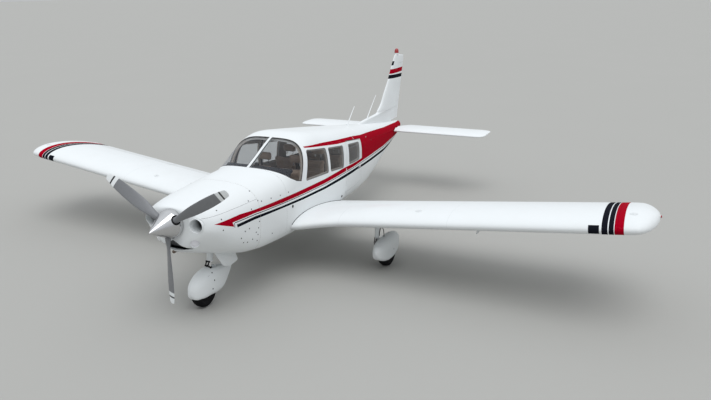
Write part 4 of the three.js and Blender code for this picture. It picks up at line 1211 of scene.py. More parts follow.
def wing_piece(piece, kind, look, body="airframe", nodes=True):
    """Lifts a left wing piece to its place, and adds its mirror image on the right."""
    piece.data.transform(LIFT)
    for one, (_, name) in zip((piece, mirrored(piece, "right")), SIDES):
        one.name = f"{kind}_skin_{name}" if nodes else f"{kind}_{name}"
        finish(one, look, body.format(side=name), f"{kind}_{name}" if nodes else None)


def build_wings():
    """Wings with their flaps, ailerons, tips, lamps and tank caps."""
    places = spread(WING_SECTIONS, (480, 1320, 60), (1320, 4700, 400), (4700, 4975, 12), (4975, 5013, 5))
    fixed = loft("wing", [wing_ring(out) for out in places])
    whole = copy_of(fixed, "whole")
    nose, tip_start = WING["nose_radius"], WING["tip"]
    for kind in ("flap", "aileron"):
        start, end = WING[kind]
        moving = copy_of(whole, kind)
        cut(moving, block((HINGE_S, start, -500), (4400, end, 500)), "INTERSECT")
        cut(moving, rod((HINGE_S, start, HINGE_Z), (HINGE_S, end, HINGE_Z), nose, sides=64), "UNION")
        start, end = start - 6, end + 6
        cut(fixed, block((HINGE_S, start, -500), (4400, end, 500)))
        cut(fixed, rod((HINGE_S, start, HINGE_Z), (HINGE_S, end, HINGE_Z), nose + 9, sides=64))
        # Flaps and ailerons take the control paint: the wing paint with painted shade.
        wing_piece(moving, kind, "control", kind + "_{side}")
    tip = copy_of(fixed, "tip")
    cut(tip, block((2000, tip_start + 0.8, -500), (4500, 5200, 500)), "INTERSECT")
    wing_piece(tip, "wing_tip", "wing")
    root = hull("root", 2000, 4440, -1, 60)
    root.data.transform(LIFT.inverted())
    cut(fixed, block((2000, 0, -500), (4500, tip_start, 500)), "INTERSECT")
    cut(fixed, root)
    wing_piece(fixed, "wing", "wing")
    bpy.data.objects.remove(whole)
    build_wing_details()


def wing_surface(out, station, under=False):
    """Height of the wing's skin in its own frame."""
    leading, chord, thickness = wing_size(out)
    x = (station - leading) / chord
    half = half_depth(x, thickness)
    line = WING["camber"] * 4 * x * (1 - x)
    return chord_z(station) + (line + (-half if under else half)) * chord


def build_wing_details():
    """Tank caps, tip lamps, tie-down rings and hinge arms of the wings."""
    profile = ((-4, 0.5), (-4, 46), (1.5, 46), (3, 43), (3, 38), (2, 36), (4, 34), (4.5, 0.5))
    for number, (station, out) in enumerate(((2880, 2250), (2900, 4760))):
        height = wing_surface(out, station)
        cap = lathe("cap", profile, (station, out, height - 1), (0.03, 0, 1), 40)
        bar = block((station - 24, out - 4, height), (station + 24, out + 4, height + 8), "bar", 2)
        wing_piece(joined("cap", cap, bar), f"tank_cap_{number + 1}", "cap", nodes=False)
    station = 3310
    height = (wing_surface(5000, station) + wing_surface(5000, station, True)) / 2
    base = rod((station, 4980, height), (station, 5017, height), 24, 19, name="lamp", bevel=2)
    wing_piece(base, "tip_lamp_base", "plain", nodes=False)
    profile = ((0, 16), (6, 16), (12, 12), (15, 7), (16, 1))
    lamp = lathe("tip_lamp_left", profile, (station, 5017, height), (0, 1, 0), 28)
    lamp.data.transform(LIFT)
    other = mirrored(lamp, "tip_lamp_right")
    finish(lamp, "red_lamp")
    finish(other, "green_lamp")
    height, turns = wing_surface(3560, 3100, True) - 14, [a * 0.35 for a in range(18)]
    ring = [(3100 + 22 * math.cos(turn), 3560, height + 22 * math.sin(turn)) for turn in turns]
    wing_piece(wire("ring", ring, 4, 8, True), "tie_down_ring", "steel", nodes=False)
    for number, out in enumerate((780, 1700, 2600, 2800, 3600, 4400)):
        low = wing_surface(out, 3560, True)
        outline = (
            (3560, low + 6), (3560, low - 4), (HINGE_S - 20, HINGE_Z - WING["nose_radius"] - 14),
            (HINGE_S + 10, HINGE_Z - 40), (HINGE_S - 30, HINGE_Z - 30),
        )
        arm = prism(outline, out - 4, out + 4, "arm")
        wing_piece(arm, f"hinge_arm_{number + 1}", "plain", nodes=False)


def fin_ring(z):
    """One section of the fin and rudder."""
    leading, trailing, thickness, drop = section_at(FIN_SECTIONS, z)
    chord = trailing - leading
    section = aerofoil(thickness / chord, 0, 26)
    return [place(leading + x * chord, y * chord, z - drop * x) for x, y in section]


def hinge_at(z):
    """Station of the rudder hinge at a height."""
    (s1, z1), (s2, z2) = FIN_HINGE
    return s1 + (z - z1) * (s2 - s1) / (z2 - z1)


def hinge_rod(low, high, more):
    """A tapered rod along the rudder hinge."""
    return rod((hinge_at(low), 0, low), (hinge_at(high), 0, high), 34 + more, 22 + more, 48)


def behind_hinge(low, high):
    """All that is behind the rudder hinge between two heights."""
    return prism(((hinge_at(low), low), (8600, low), (8600, high), (hinge_at(high), high)), -300, 300)


def build_fin():
    """The fin with its fillet and cap, the rudder, and the beacon on top."""
    low, high = RUDDER
    heights = spread(FIN_SECTIONS, (1220, 1500, 140), (1500, 1619, 4), (1619, 2400, 40), (2400, 2641, 10))
    whole = loft("fin_skin", [fin_ring(z) for z in heights])
    rudder = copy_of(whole, "rudder_skin")
    cut(rudder, behind_hinge(low, high), "INTERSECT")
    nose = hinge_rod(low, high, 0)
    cut(nose, copy_of(whole, "whole"), "INTERSECT")
    cut(rudder, nose, "UNION")
    finish(rudder, "fin", "rudder", "rudder")
    cut(whole, behind_hinge(1210, high + 8))
    cut(whole, hinge_rod(1210, high + 8, 8))
    cut(whole, hull("tail", 5840, TAIL_END, -0.4, 60))
    finish(whole, "fin", node="fin")
    spot, up = (8090, 0, 2652), (0, 0, 1)
    base = ((-54, 24), (-20, 36), (-8, 44), (0, 44), (3, 41), (4, 1))
    finish(lathe("beacon_base", base, spot, up, 40), "plain")
    dome = ((0, 43), (40, 42), (62, 39), (78, 31), (88, 20), (92.5, 8), (93, 1))
    finish(lathe("beacon_lens", dome, spot, up, 36), "red_lamp")


def stabilator_ring(y):
    """One section of the tailplane."""
    aft, share, squeeze = section_at(STABILATOR_SECTIONS, y)
    start, chord = STABILATOR["leading"] + aft, STABILATOR["chord"]
    section = aerofoil(STABILATOR["thickness"] * squeeze, 0, 28)
    return [place(start + x * chord * share, y, STABILATOR["z"] + h * chord) for x, h in section]


def build_stabilator():
    """The one-piece tailplane and its two tabs."""
    z, hinge, nose, pivot = (STABILATOR[key] for key in ("z", "tab_hinge", "tab_nose", "pivot"))
    inner, outer = STABILATOR["tab"]
    places = spread(STABILATOR_SECTIONS, (60, 1770, 400), (1770, 1961, 8))
    half = loft("stabilator_skin", [stabilator_ring(y) for y in places])
    tab = copy_of(half, "stabilator_tab_skin_left")
    cut(tab, block((hinge, inner, 900), (8500, outer, 1400)), "INTERSECT")
    cut(tab, rod((hinge, inner, z), (hinge, outer, z), nose), "UNION")
    cut(half, prism_down(STABILATOR_ROOT))
    cut(half, block((hinge, inner - 5, 900), (8500, outer + 5, 1400)))
    cut(half, rod((hinge, inner - 5, z), (hinge, outer + 5, z), nose + 5))
    other = mirrored(half, "other")
    cut(half, rod((pivot, -300, z), (pivot, 300, z), 30), "UNION")
    cut(half, other, "UNION")
    finish(half, "stabilator", "stabilator", "stabilator")
    second = mirrored(tab, "stabilator_tab_skin_right")
    for piece, name in ((tab, "left"), (second, "right")):
        finish(piece, "stabilator", f"tab_{name}", f"stabilator_tab_{name}")


# Landing gear


def fairing(name, table, axle, y):
    """A wheel fairing as a smooth closed shell round its sections."""
    rings = []
    for at in spread(table, (-500, -180, 12), (-180, 260, 40), (260, 700, 22)):
        low, high, half = section_at(table, at)
        ring = []
        for i in range(48):
            angle = 2 * math.pi * (i + 0.5) / 48
            c, s = math.cos(angle), math.sin(angle)
            power = 2 / FAIRING_POWER[s > 0]
            across = half * math.copysign(abs(c) ** power, c)
            up = (high - low) / 2 * math.copysign(abs(s) ** power, s)
            ring.append(place(axle + at, y + across, (low + high) / 2 + up))
        rings.append(ring)
    return loft(name, rings)


def build_wheel(name, station, y, body):
    """A ribbed tyre on a cast wheel with its bolts and cap."""
    radius, wall, half = TYRE_RADIUS, 74, 80
    profile, steps = [(-58, 88), (-60, 94)], 28
    for i in range(steps + 1):
        angle = 0.86 * math.pi * (i - steps / 2) / steps
        across = half * math.copysign(abs(math.sin(angle)) ** 0.9, angle)
        groove = 5 if any(abs(across - middle) < 3.2 for middle in (-38, -13, 13, 38)) else 0
        profile.append((across, radius - wall + wall * math.cos(angle) ** 0.8 - groove))
    profile += [(60, 94), (58, 88), profile[0]]
    centre, axis = (station, y, radius), (0, 1, 0)
    finish(lathe(f"{name}_tyre_body", profile, centre, axis, 96), "tyre", body, f"{name}_tyre", 40)
    rim = ((-52, 12), (-52, 30), (-44, 34), (-38, 60), (-40, 74), (-56, 80), (-57, 86))
    rim = (*rim, *((-across, out) for across, out in reversed(rim)), rim[0])
    parts = [lathe("rim", rim, centre, axis, 72)]
    for side, _ in SIDES:
        for i in range(8):
            angle = math.pi * i / 4
            s, z = station + 52 * math.cos(angle), radius + 52 * math.sin(angle)
            parts.append(rod((s, y + side * 38, z), (s, y + side * 47, z), 5.5, sides=6, name="bolt"))
        ends = ((station, y + side * out, radius) for out in (40, 54))
        parts.append(rod(*ends, 20, 15, 24, "cap", 2))
    finish(joined(f"{name}_wheel", *parts), "wheel", body, f"{name}_hub", 35)


def wheel_room(station, y):
    """The room that a wheel turns in, with shoulders like its tyre's."""
    return lathe("room", WHEEL_ROOM, (station, y, TYRE_RADIUS), (0, 1, 0), 96)


def fork_yoke(margin):
    """The nose fork's crown and its two arms."""
    outer, front, back = 96 + margin, NOSE_WHEEL - 22 - margin, NOSE_WHEEL + 22 + margin
    plan = [(front, outer), (back, outer), (1170 + margin, 46 + margin)]
    plan += [(s, -y) for s, y in reversed(plan)]
    yoke = prism_down(plan, 424 - margin, 440 + margin)
    for side, _ in SIDES:
        low, high = sorted((side * (84 - margin), side * outer))
        cut(yoke, block((front, low, 200 - margin), (back, high, 430)), "UNION")
    return yoke


def build_nose_gear():
    """The nose leg, its piston, scissor link and fork, the fairing and the wheel."""
    body = "nose_strut"
    housing = ((0, 48), (333, 41), (339, 43), (351, 43), (351, 26), (40, 25.5), (40, 20), (0, 20), (0, 48))
    housing = lathe("nose_strut_housing", housing, (1209, 0, 920), STRUT_AXIS, 48)
    finish(housing, "plain", node="nose_leg")
    finish(rounded(fork_yoke(0), 3), "steel", body, "nose_fork")
    finish(rod((1161, 0, 599), (1137, 0, 438), 23.5, sides=48, name="nose_strut_piston"), "chrome", body)
    collar = ((0, 26), (0, 34), (14, 34), (18, 26), (0, 26))
    finish(lathe("nose_strut_collar", collar, (1146, 0, 494), STRUT_AXIS, 40), "dark_metal", body)
    link = []
    for side, _ in SIDES:
        knee = [(1128, side * 22, 494), (1084, side * 16, 530), (1120, side * 22, 578)]
        link.append(wire("link", knee, 10, 8))
    for s, half, z in ((1124, 30, 496), (1084, 24, 530), (1118, 30, 576)):
        link.append(rod((s, -half, z), (s, half, z), 12, sides=16, name="pin"))
    finish(joined("scissor_link", *link), "dark_metal", body)
    shell = fairing("nose_wheel_fairing", NOSE_FAIRING, NOSE_WHEEL, 0)
    cut(shell, wheel_room(NOSE_WHEEL, 0))
    cut(shell, fork_yoke(2))
    cut(shell, block((1090, -60, 440), (1240, 60, 700)))
    finish(rounded(shell, 2, angle=50), "plain", body, "nose_fairing")
    build_wheel("nose", NOSE_WHEEL, 0, "nose_wheel")
    screws = []
    for s, z in ((75, 452), (85, 350), (40, 248)):
        y, station = fairing_y(NOSE_FAIRING, s, z), NOSE_WHEEL + s
        for side, _ in SIDES:
            ends = ((station, side * (y - 3), z), (station, side * (y + 2.5), z))
            screws.append(rod(*ends, 12, 12 * 0.7, 10, "screw"))
    finish(joined("nose_fairing_bolts", *screws), "dark_metal", body)


def fairing_y(table, at, z):
    """Half width of a fairing at a place along it and a height."""
    low, high, half = section_at(table, at)
    middle, reach = (low + high) / 2, (high - low) / 2
    power = FAIRING_POWER[z > middle]
    return half * max(1 - min(abs(z - middle) / reach, 1) ** power, 0) ** (1 / power)


def build_main_gear():
    """The two main legs with their shock struts, links and brakes, the fairings and the wheels."""
    station, y = MAIN_STRUT
    wing = loft("wing", [wing_ring(out) for out in (900, 1320, 2200)])
    wing.data.transform(Matrix.Translation((0, 0, -0.0004)) @ LIFT)
    tube = ((0, 37), (352, 33), (356, 36), (372, 36), (372, 25), (0, 25), (0, 37))
    housing = lathe("housing", tube, (station, y, 800), (0, 0, -1), 48)
    cut(housing, rod((station, y, 800), (station, y, 440), 26), "UNION")
    cut(housing, wing)
    axle = block((station - 30, y - 14, 198), (MAIN_WHEEL + 30, y + 14, 246), "axle", 5)
    foot = block((station - 30, y - 30, 182), (station + 30, y + 30, 320), "foot", 8)
    pin = rod((MAIN_WHEEL, y, TYRE_RADIUS), (MAIN_WHEEL, HALF_TRACK - 54, TYRE_RADIUS), 18, name="pin")
    link = []
    for o in (-18, 18):
        knee = [(station - 40, y + o, 452), (station - 84, y + o / 2, 380), (station - 30, y + o, 305)]
        link.append(wire("link", knee, 6, 8))
    arch = (
        (34, 470), (38, 520), (46, 570), (58, 598), (72, 604), (88, 592), (100, 560), (105, 510),
        (106, 455),
    )
    line = wire("line", [(station, y + across, z) for across, z in arch], 6, 12)
    head, at, z = HALF_TRACK + fairing_y(MAIN_FAIRING, -45, 285), MAIN_WHEEL - 45, 285
    screw = rod((at, head - 3, z), (at, head + 2.5, z), 9, 6, 12, "screw")
    shell = fairing("fairing", MAIN_FAIRING, MAIN_WHEEL, HALF_TRACK)
    cut(shell, wheel_room(MAIN_WHEEL, HALF_TRACK))
    cut(shell, block((station - 52, y - 60, 150), (MAIN_WHEEL + 34, y + 44, 860)))
    pieces = {
        "strut_housing": (housing, "plain", "main_leg"),
        "strut_piston": (rod((station, y, 446), (station, y, 300), 25.5, sides=40), "chrome", None),
        "strut_foot": (joined("foot", foot, axle, pin), "plain", None),
        "scissor_link": (joined("link", *link), "dark_metal", None),
        "brake_line": (line, "rubber", None),
        "fairing_screw": (screw, "dark_metal", None),
        "wheel_fairing": (rounded(shell, 2, angle=50), "plain", "main_fairing"),
    }
    for side, name in SIDES:
        for kind, (piece, look, node) in pieces.items():
            one = (copy_of if side > 0 else mirrored)(piece, f"main_{kind}_{name}")
            finish(one, look, node=node and f"{node}_{name}")
        build_wheel(f"main_{name}", MAIN_WHEEL, side * HALF_TRACK, f"main_wheel_{name}")
    for piece, *_ in pieces.values():
        bpy.data.objects.remove(piece)


# Propeller


def turned_blade(piece, name, number):
    """A copy of a piece, turned round the shaft to one of the three blades."""
    shaft = place(BLADE_STATION, 0, THRUST)
    turn = Matrix.Rotation(math.radians(180 + 120 * number), 4, "X")
    one = copy_of(piece, name)
    one.data.transform(Matrix.Translation(shaft) @ turn @ Matrix.Translation(-shaft))
    return one


def blade_ring(radius, sides=28):
    """One section of a blade that points up from the shaft."""
    chord, thickness, pitch = section_at(BLADE, radius)
    angle, ring = math.radians(pitch), []
    for i in range(sides):
        turn = 2 * math.pi * i / sides
        along = chord / 2 * math.cos(turn)
        across = thickness / 2 * math.sin(turn)
        station = BLADE_STATION - along * math.sin(angle) - across * math.cos(angle)
        ring.append(place(station, -along * math.cos(angle) + across * math.sin(angle), THRUST + radius))
    return ring


def build_propeller():
    """Three blades on their hub, and the spinner with its back plate and blade holes."""
    body, centre, ahead = "propeller", (BLADE_STATION, 0, THRUST), (1, 0, 0)
    radii = spread(BLADE, (60, 290, 22), (290, 950, 45), (950, 1013, 7))
    blade = loft("blade", [blade_ring(radius) for radius in radii])
    room = rod((BLADE_STATION, 0, THRUST + 50), (BLADE_STATION, 0, THRUST + 220), 60, sides=48)
    boot = ((70, 38), (70, 52), (120, 50), (150, 46), (150, 38), (70, 38))
    boot = lathe("boot", boot, centre, (0, 0, 1), 40)
    hub = ((-55, 20), (-55, 78), (-48, 84), (48, 84), (55, 78), (55, 20), (-55, 20))
    finish(lathe("propeller_hub", hub, centre, (-1, 0, 0), 48), "steel", body)
    base, radius, straight = 422, 178, 70
    profile = [(0, radius - 4), (0, radius), (straight * 0.5, radius), (straight, radius)]
    for i in range(1, 25):
        t = i / 24
        profile.append((straight + t * (base - straight), max(radius * (1 - t) ** 0.9, 0.6)))
    for t in (0.9, 0.6, 0.3, 0.0):
        profile.append((straight + (base - straight) * t, max(radius * (1 - t) ** 0.9 - 4, 1)))
    cone = lathe("spinner_cone", (*profile, profile[0]), (base, 0, THRUST), ahead, 96)
    for number in range(3):
        one = turned_blade(blade, f"blade_{number + 1}", number)
        finish(one, "blade", body, None if number else "propeller")
        cut(cone, turned_blade(room, "room", number))
        finish(turned_blade(boot, f"blade_boot_{number + 1}", number), "rubber", body)
    for source in (blade, room, boot):
        bpy.data.objects.remove(source)
    finish(cone, "polished", body, "spinner")
    plate = ((0, 30), (0, 176), (5, 176), (5, 30), (0, 30))
    finish(lathe("spinner_back_plate", plate, (421, 0, THRUST), ahead, 96), "dark_metal", body)
    screws = []
    for degrees in range(0, 360, 15):
        if min(abs((degrees - blade_at + 180) % 360 - 180) for blade_at in (-90, 30, 150)) < 24:
            continue
        y, z = math.cos(math.radians(degrees)), math.sin(math.radians(degrees))
        ends = ((408, r * y, THRUST + r * z) for r in (177, 179.5))
        screws.append(rod(*ends, 5, 3.5, 10, "screw"))
    finish(joined("spinner_screws", *screws), "steel", body)


# Cabin furniture


def turn_about(spot, degrees, axis):
    """A turn round an axis through a point."""
    turn = Matrix.Rotation(math.radians(degrees), 4, axis)
    return Matrix.Translation(spot) @ turn @ Matrix.Translation(-spot)


def slab(name, low, high, tilt, bevel):
    """A rounded block turned about the axis across the aircraft, round its lower middle."""
    piece = block(low, high, name, bevel)
    piece.data.transform(turn_about(place((low[0] + high[0]) / 2, 0, low[2]), tilt, "Y"))
    return piece


def inflated(piece, cap, voxel):
    """Blows a closed form up as cloth, moves no point further than a cap, and smooths it."""
    modify(piece, "REMESH", mode="VOXEL", voxel_size=voxel)
    start = [vertex.co.copy() for vertex in piece.data.vertices]
    cloth = piece.modifiers.new("cloth", "CLOTH")
    cloth.settings.use_pressure = True
    cloth.settings.uniform_pressure_force = 4
    cloth.settings.effector_weights.gravity = 0
    for step in range(1, 21):
        bpy.context.scene.frame_set(step)
    bpy.ops.object.modifier_apply(modifier=cloth.name)
    bpy.context.scene.frame_set(1)
    for vertex, before in zip(piece.data.vertices, start):
        move = vertex.co - before
        if move.length > cap * MM:
            vertex.co = before + move * (cap * MM / move.length)
    return modify(piece, "SUBSURF", levels=1, render_levels=1)


def sew(piece, centre, axis, lines, depth=7, width=9, span=None):
    """Presses sewn channels into a cushion where it crosses planes square to an axis."""
    for vertex in piece.data.vertices:
        spot = vertex.co
        off = (spot[axis] - centre[axis]) / MM
        pull = max(math.exp(-((off - line) / width) ** 2) for line in lines)
        inward = Vector(centre) - spot
        inward[axis] = 0
        if span:
            across = 1 if axis == 0 else 0
            reach = abs(spot[across] - centre[across]) / MM
            pull *= 1 / (1 + math.exp((reach - span) / 6))
        if inward.length:
            vertex.co = spot + inward.normalized() * pull * depth * MM


def piping(piece):
    """A round cord sewn round a cushion at half its height."""
    low, high = (Vector(map(pick, zip(*piece.bound_box))) for pick in (min, max))
    corners = [(low.x, low.y), (high.x, low.y), (high.x, high.y), (low.x, high.y)]
    spots, count = [], 28
    for (p, q), (r, s) in zip(corners, (*corners[1:], corners[0])):
        for i in range(count):
            t = i / count
            point = Vector((p + (r - p) * t, q + (s - q) * t, low.z + (high.z - low.z) * 0.5))
            _, spot, normal, _ = piece.closest_point_on_mesh(point)
            spots.append(numbers(spot + normal * 0.0008))
    return wire("piping", spots, 3.5, 8, True)


def build_seats():
    """Six padded leather seats: cushion, reclined back and headrest on a frame with rails."""
    voxel = bpy.context.scene.aircraft_sizes.voxel
    station, y, half, top, back = SEATS["seat_front_left"]
    left, right, crown = y + half, y - half, top + back
    cushion, rest, head = (
        inflated(slab("cushion", (station + s1, y1, z1), (station + s2, y2, z2), tilt, bevel), cap, voxel)
        for s1, y1, z1, s2, y2, z2, tilt, bevel, cap in (
            (-236, right + 14, top - 138, 196, left - 14, top - 20, -3, 34, 24),
            (212, right + 16, top - 56, 284, left - 16, crown - 24, 9.5, 30, 22),
            (288, y - 104, crown + 20, 352, y + 104, crown + 136, 5, 26, 14),
        )
    )
    for piece, axis, lines, span, edge in (
        (cushion, 0, (-95, -32, 31, 94), 128, 132), (rest, 2, (-150, -80, -10, 60, 130), 122, 126),
    ):
        middle = [sum(corner[k] for corner in piece.bound_box) / 8 for k in range(3)]
        sew(piece, middle, axis, lines, span=span)
        sew(piece, middle, 1, (-edge, edge), depth=9)
    cord = piping(cushion)
    stand, shell, posts = seat_frame(station, y, half, top, back)
    back_to_zero = Matrix.Translation(-place(station, y, top))
    for name, (s, across, wide, height, rise) in SEATS.items():
        shift, widen = Matrix.Translation(place(s, across, height)), (wide - 14) / (half - 14)
        lift = shift @ Matrix.Diagonal((1, widen, 1, 1)) @ back_to_zero
        grown = shift @ Matrix.Diagonal((1, widen, rise / back, 1)) @ back_to_zero
        drop = shift @ Matrix.Translation((0, 0, (rise - back) * MM)) @ back_to_zero
        for label, source, move, look in (
            ("cushion", cushion, lift, "leather"), ("back", rest, grown, "leather"),
            ("headrest", head, drop, "leather"), ("piping_1", cord, lift, "leather"),
            ("frame", stand, lift, "dark"), ("shell", shell, grown, "trim"),
            ("posts", posts, drop, "chrome"),
        ):
            one = copy_of(source, f"{name.replace('seat_', '')}_seat_{label}")
            one.data.transform(move)
            node, angle = name if source is cushion else None, 60 if look == "leather" else 32
            finish(one, look, node=node, angle=angle)
    for source in (cushion, rest, head, cord, stand, shell, posts):
        bpy.data.objects.remove(source)


def seat_frame(station, y, half, top, back):
    """A seat's frame with its rails, its back shell and its headrest posts."""
    floor, crown = FLOOR_TOP + 0.5, top + back
    left, right = y + half, y - half
    parts = [block((station - 215, right + 40, 790), (station + 200, left - 40, top - 128), "pan", 10)]
    for side, _ in SIDES:
        rail = y + side * (half - 62)
        low, high = (station - 168, rail - 12, floor), (station + 168, rail + 12, floor + 22)
        parts.append(block(low, high, "rail", 3))
        for leg in (station - 130, station + 120):
            parts.append(block((leg - 12, rail - 8, floor + 20), (leg + 12, rail + 8, 800), "leg", 3))
    ends = ((station - 160, across, 760) for across in (right + 60, left - 60))
    parts.append(rod(*ends, 9, sides=16, name="bar"))
    low, high = (station + 262, right + 26, top - 50), (station + 284, left - 26, crown - 34)
    shell = slab("shell", low, high, 9.5, 9)
    posts = []
    for at in (y - 50, y + 50):
        ends = ((station + 326, at, crown - 30), (station + 330, at, crown + 60))
        posts.append(rod(*ends, 6, sides=16, name="post"))
    return joined("frame", *parts), shell, joined("posts", *posts)


PANEL_OUTLINE = (
    (2250, 1080), (2330, 1080), (2350, 1400), (2380, 1408), (2380, 1440), (2300, 1462), (2215, 1480),
    (2215, 1420), (2250, 1400),
)
SHIELD_OUTLINE = (
    (2180, 1574), (2300, 1572), (2440, 1562), (2494, 1548), (2506, 1530), (2490, 1514), (2440, 1496),
    (2352, 1402), (2240, 1440), (2180, 1480),
)
# Dials. Columns: distance to the left, height, radius.
DIALS = (
    (385, 1330, 38), (295, 1335, 41), (205, 1330, 38), (385, 1238, 38), (295, 1240, 41),
    (205, 1238, 38), (-205, 1330, 38), (-295, 1330, 38), (-385, 1325, 34), (-205, 1240, 30),
    (-275, 1240, 30), (-345, 1240, 30), (-415, 1238, 26), (460, 1290, 24),
)


def panel_station(z):
    """Station of the instrument panel's sloping face at a height."""
    return 2330 + (z - 1080) / 16


def build_panel():
    """The instrument panel with its glare shield, dials, radios, knobs, yokes and pedals."""
    panel = hull("instrument_board", 2200, 2420, WALL + 5, 20)
    finish(cut(panel, prism(PANEL_OUTLINE), "INTERSECT"), "board", node="instrument_panel")
    shield = hull("glare_shield", 2175, 2510, WALL + 4, 15)
    finish(rounded(cut(shield, prism(SHIELD_OUTLINE), "INTERSECT"), 5, angle=50), "shield")
    bezels, faces, needles = [], [], []
    for y, z, radius in DIALS:
        s = panel_station(z)
        bezel = ((0, -1), (0, 3), (6, 2), (9, -2), (5, -4), (5, 2 - radius), (0, 2 - radius), (0, -1))
        bezel = [(along, radius + out) for along, out in bezel]
        bezels.append(lathe("bezel", bezel, (s - 1, y, z), (-1, 0, 0), 40))
        faces.append(rod((s + 4, y, z), (s + 4.8, y, z), radius - 4, sides=40, name="face"))
        turn = (y * 7 + z * 3) % 360
        tip = (y + (radius - 10) * math.cos(turn), z + (radius - 10) * math.sin(turn))
        needles.append(rod((s + 6.5, y, z), (s + 6.5, *tip), 1.6, 0.5, 8, "needle"))
    finish(joined("dial_bezels", *bezels), "dark")
    finish(joined("dial_faces", *faces), "dial")
    finish(joined("dial_needles", *needles), "plain")
    s = panel_station(1300)
    rows = (1170, 1216, 1262, 1308, 1350)
    radios = [block((s - 4, -130, z), (s + 10, 120, z + 40), "radio", 3) for z in rows]
    finish(joined("radio_stack", *radios), "dark")
    screens = [block((s + 9, -70, z + 9), (s + 11.5, 60, z + 31), "screen", 1) for z in rows[:-1]]
    finish(joined("radio_screens", *screens), "screen")
    knobs = []
    for z in rows[:-1]:
        for y in (-110, -88, 86, 106):
            knobs.append(rod((s + 9, y, z + 20), (s + 22, y, z + 20), 7, 5.5, 16, "knob", 1))
    for y in (-40, -10, 20):
        knobs.append(rod((2325, y, 1120), (2390, y, 1128), 4, 4, 12, "lever"))
        knobs.append(rod((2385, y, 1127), (2412, y, 1131), 13, 10, 20, "lever_knob", 3))
    finish(joined("knobs", *knobs), "dark")
    half_grip = ((-128, 78), (-142, 40), (-138, -4), (-112, -34), (-60, -40))
    for side, name in SIDES:
        y = side * 295
        finish(rod((2330, y, 1180), (2470, y, 1186), 12, sides=24, name=f"yoke_column_{name}"), "chrome")
        grip = (*half_grip, (0, -34), *((-a, b) for a, b in reversed(half_grip)))
        grip = wire("grip", [(2478, y + a, 1186 + b) for a, b in grip], 13, 12)
        hub = rod((2462, y, 1180), (2494, y, 1182), 34, 30, 24, "hub", 5)
        finish(joined(f"yoke_{name}", grip, hub), "dark")
        places = (y - 80, y + 80)
        pedals = [block((2226, at - 38, 760), (2236, at + 38, 850), "pedal", 4) for at in places]
        arms = [rod((2222, at, 700), (2226, at, 800), 8, sides=12, name="arm") for at in places]
        finish(joined(f"rudder_pedals_{name}", *pedals, *arms), "steel")


def build_trim():
    """Carpet, bulkheads and arm rests of the cabin."""
    plan = [(s, skin_y(s, 650, WALL) - 4) for s in range(2215, 5006, 62)]
    plan += [(s, -y) for s, y in reversed(plan)]
    finish(prism_down(plan, FLOOR_TOP + 0.3, FLOOR_TOP + 6, "carpet"), "carpet")
    walls = (("rear", 5036, 5047, FAR, "lining"), ("front", 2164, 2172, 1560, "dark"))
    for name, start, end, top, look in walls:
        wall = hull(f"{name}_bulkhead_trim", start, end, WALL + 1, 20)
        room = block((start - 10, -900, FLOOR_TOP + 1), (end + 10, 900, top))
        finish(cut(wall, room, "INTERSECT"), look)
    for number, side, name, s1, s2, z in (
        (1, 1, "left", 2720, 3120, 1120), (2, 1, "left", 3480, 3880, 1110),
        (2, -1, "right", 3480, 3880, 1110),
    ):
        y = skin_y((s1 + s2) / 2, z, WALL)
        low, high = sorted((side * (y - 62), side * (y - 1)))
        finish(block((s1, low, z), (s2, high, z + 45), f"arm_rest_{name}_{number}", 14), "leather")


# Small outside parts

FASTENERS = (
    (743, 1442), (730, 1344), (727, 1212), (1304, 1317), (1452, 1114), (1428, 1036), (1226, 1087),
    (1137, 1076), (1373, 991), (1417, 948), (1067, 1005), (1305, 917), (1416, 863), (1132, 925),
    (1210, 904), (1773, 850), (2358, 799), (1467, 1496), (1315, 1416), (1485, 1378), (1551, 1355),
    (1775, 1334), (2003, 1315), (2217, 1303),
)


def button(station, z, side, radius, height, sides=14):
    """A small round head that stands square on the body's skin."""
    normal = skin_normal(station, z, side)
    spot = place(station, side * skin_y(station, z), z)
    ends = (numbers(spot - normal * 0.002), numbers(spot + normal * height * MM))
    return rod(*ends, radius, radius * 0.75, sides, "button")


def whip(name, s, z, s2, z2):
    """A whip antenna from a foot to a tip, on a streamlined base."""
    radius = 11
    mast = rod((s, 0, z - 6), (s2, 0, z2), radius, radius * 0.45, 16, name)
    profile = ((-10, 30), (4, 30), (14, 22), (32, 14), (46, 11))
    return joined(name, mast, lathe("base", profile, (s, 0, z), (s - s2, 0, z2 - z), 28))


def root_seal(side, name):
    """The rubber strip where a wing's upper skin meets the body."""
    seal, dihedral = [], WING["dihedral"]
    for s in range(2316, 4150, 22):
        y = 600.0
        for _ in range(12):
            top = wing_surface(max(y / math.cos(dihedral), 500), s)
            z = WING["root_z"] + y * math.sin(dihedral) / math.cos(dihedral) + top * math.cos(dihedral)
            y = skin_y(s, z)
        seal.append((s, side * (y + 1), z))
    # Black rubber: partly a real seal, partly painted shadow in the gap at the wing root.
    finish(wire(f"root_seal_{name}", seal, 6, 8), "rubber")


def buttons(name, look, spots, body="airframe"):
    """One piece made of several small round heads."""
    finish(joined(name, *(button(*spot) for spot in spots)), look, body)


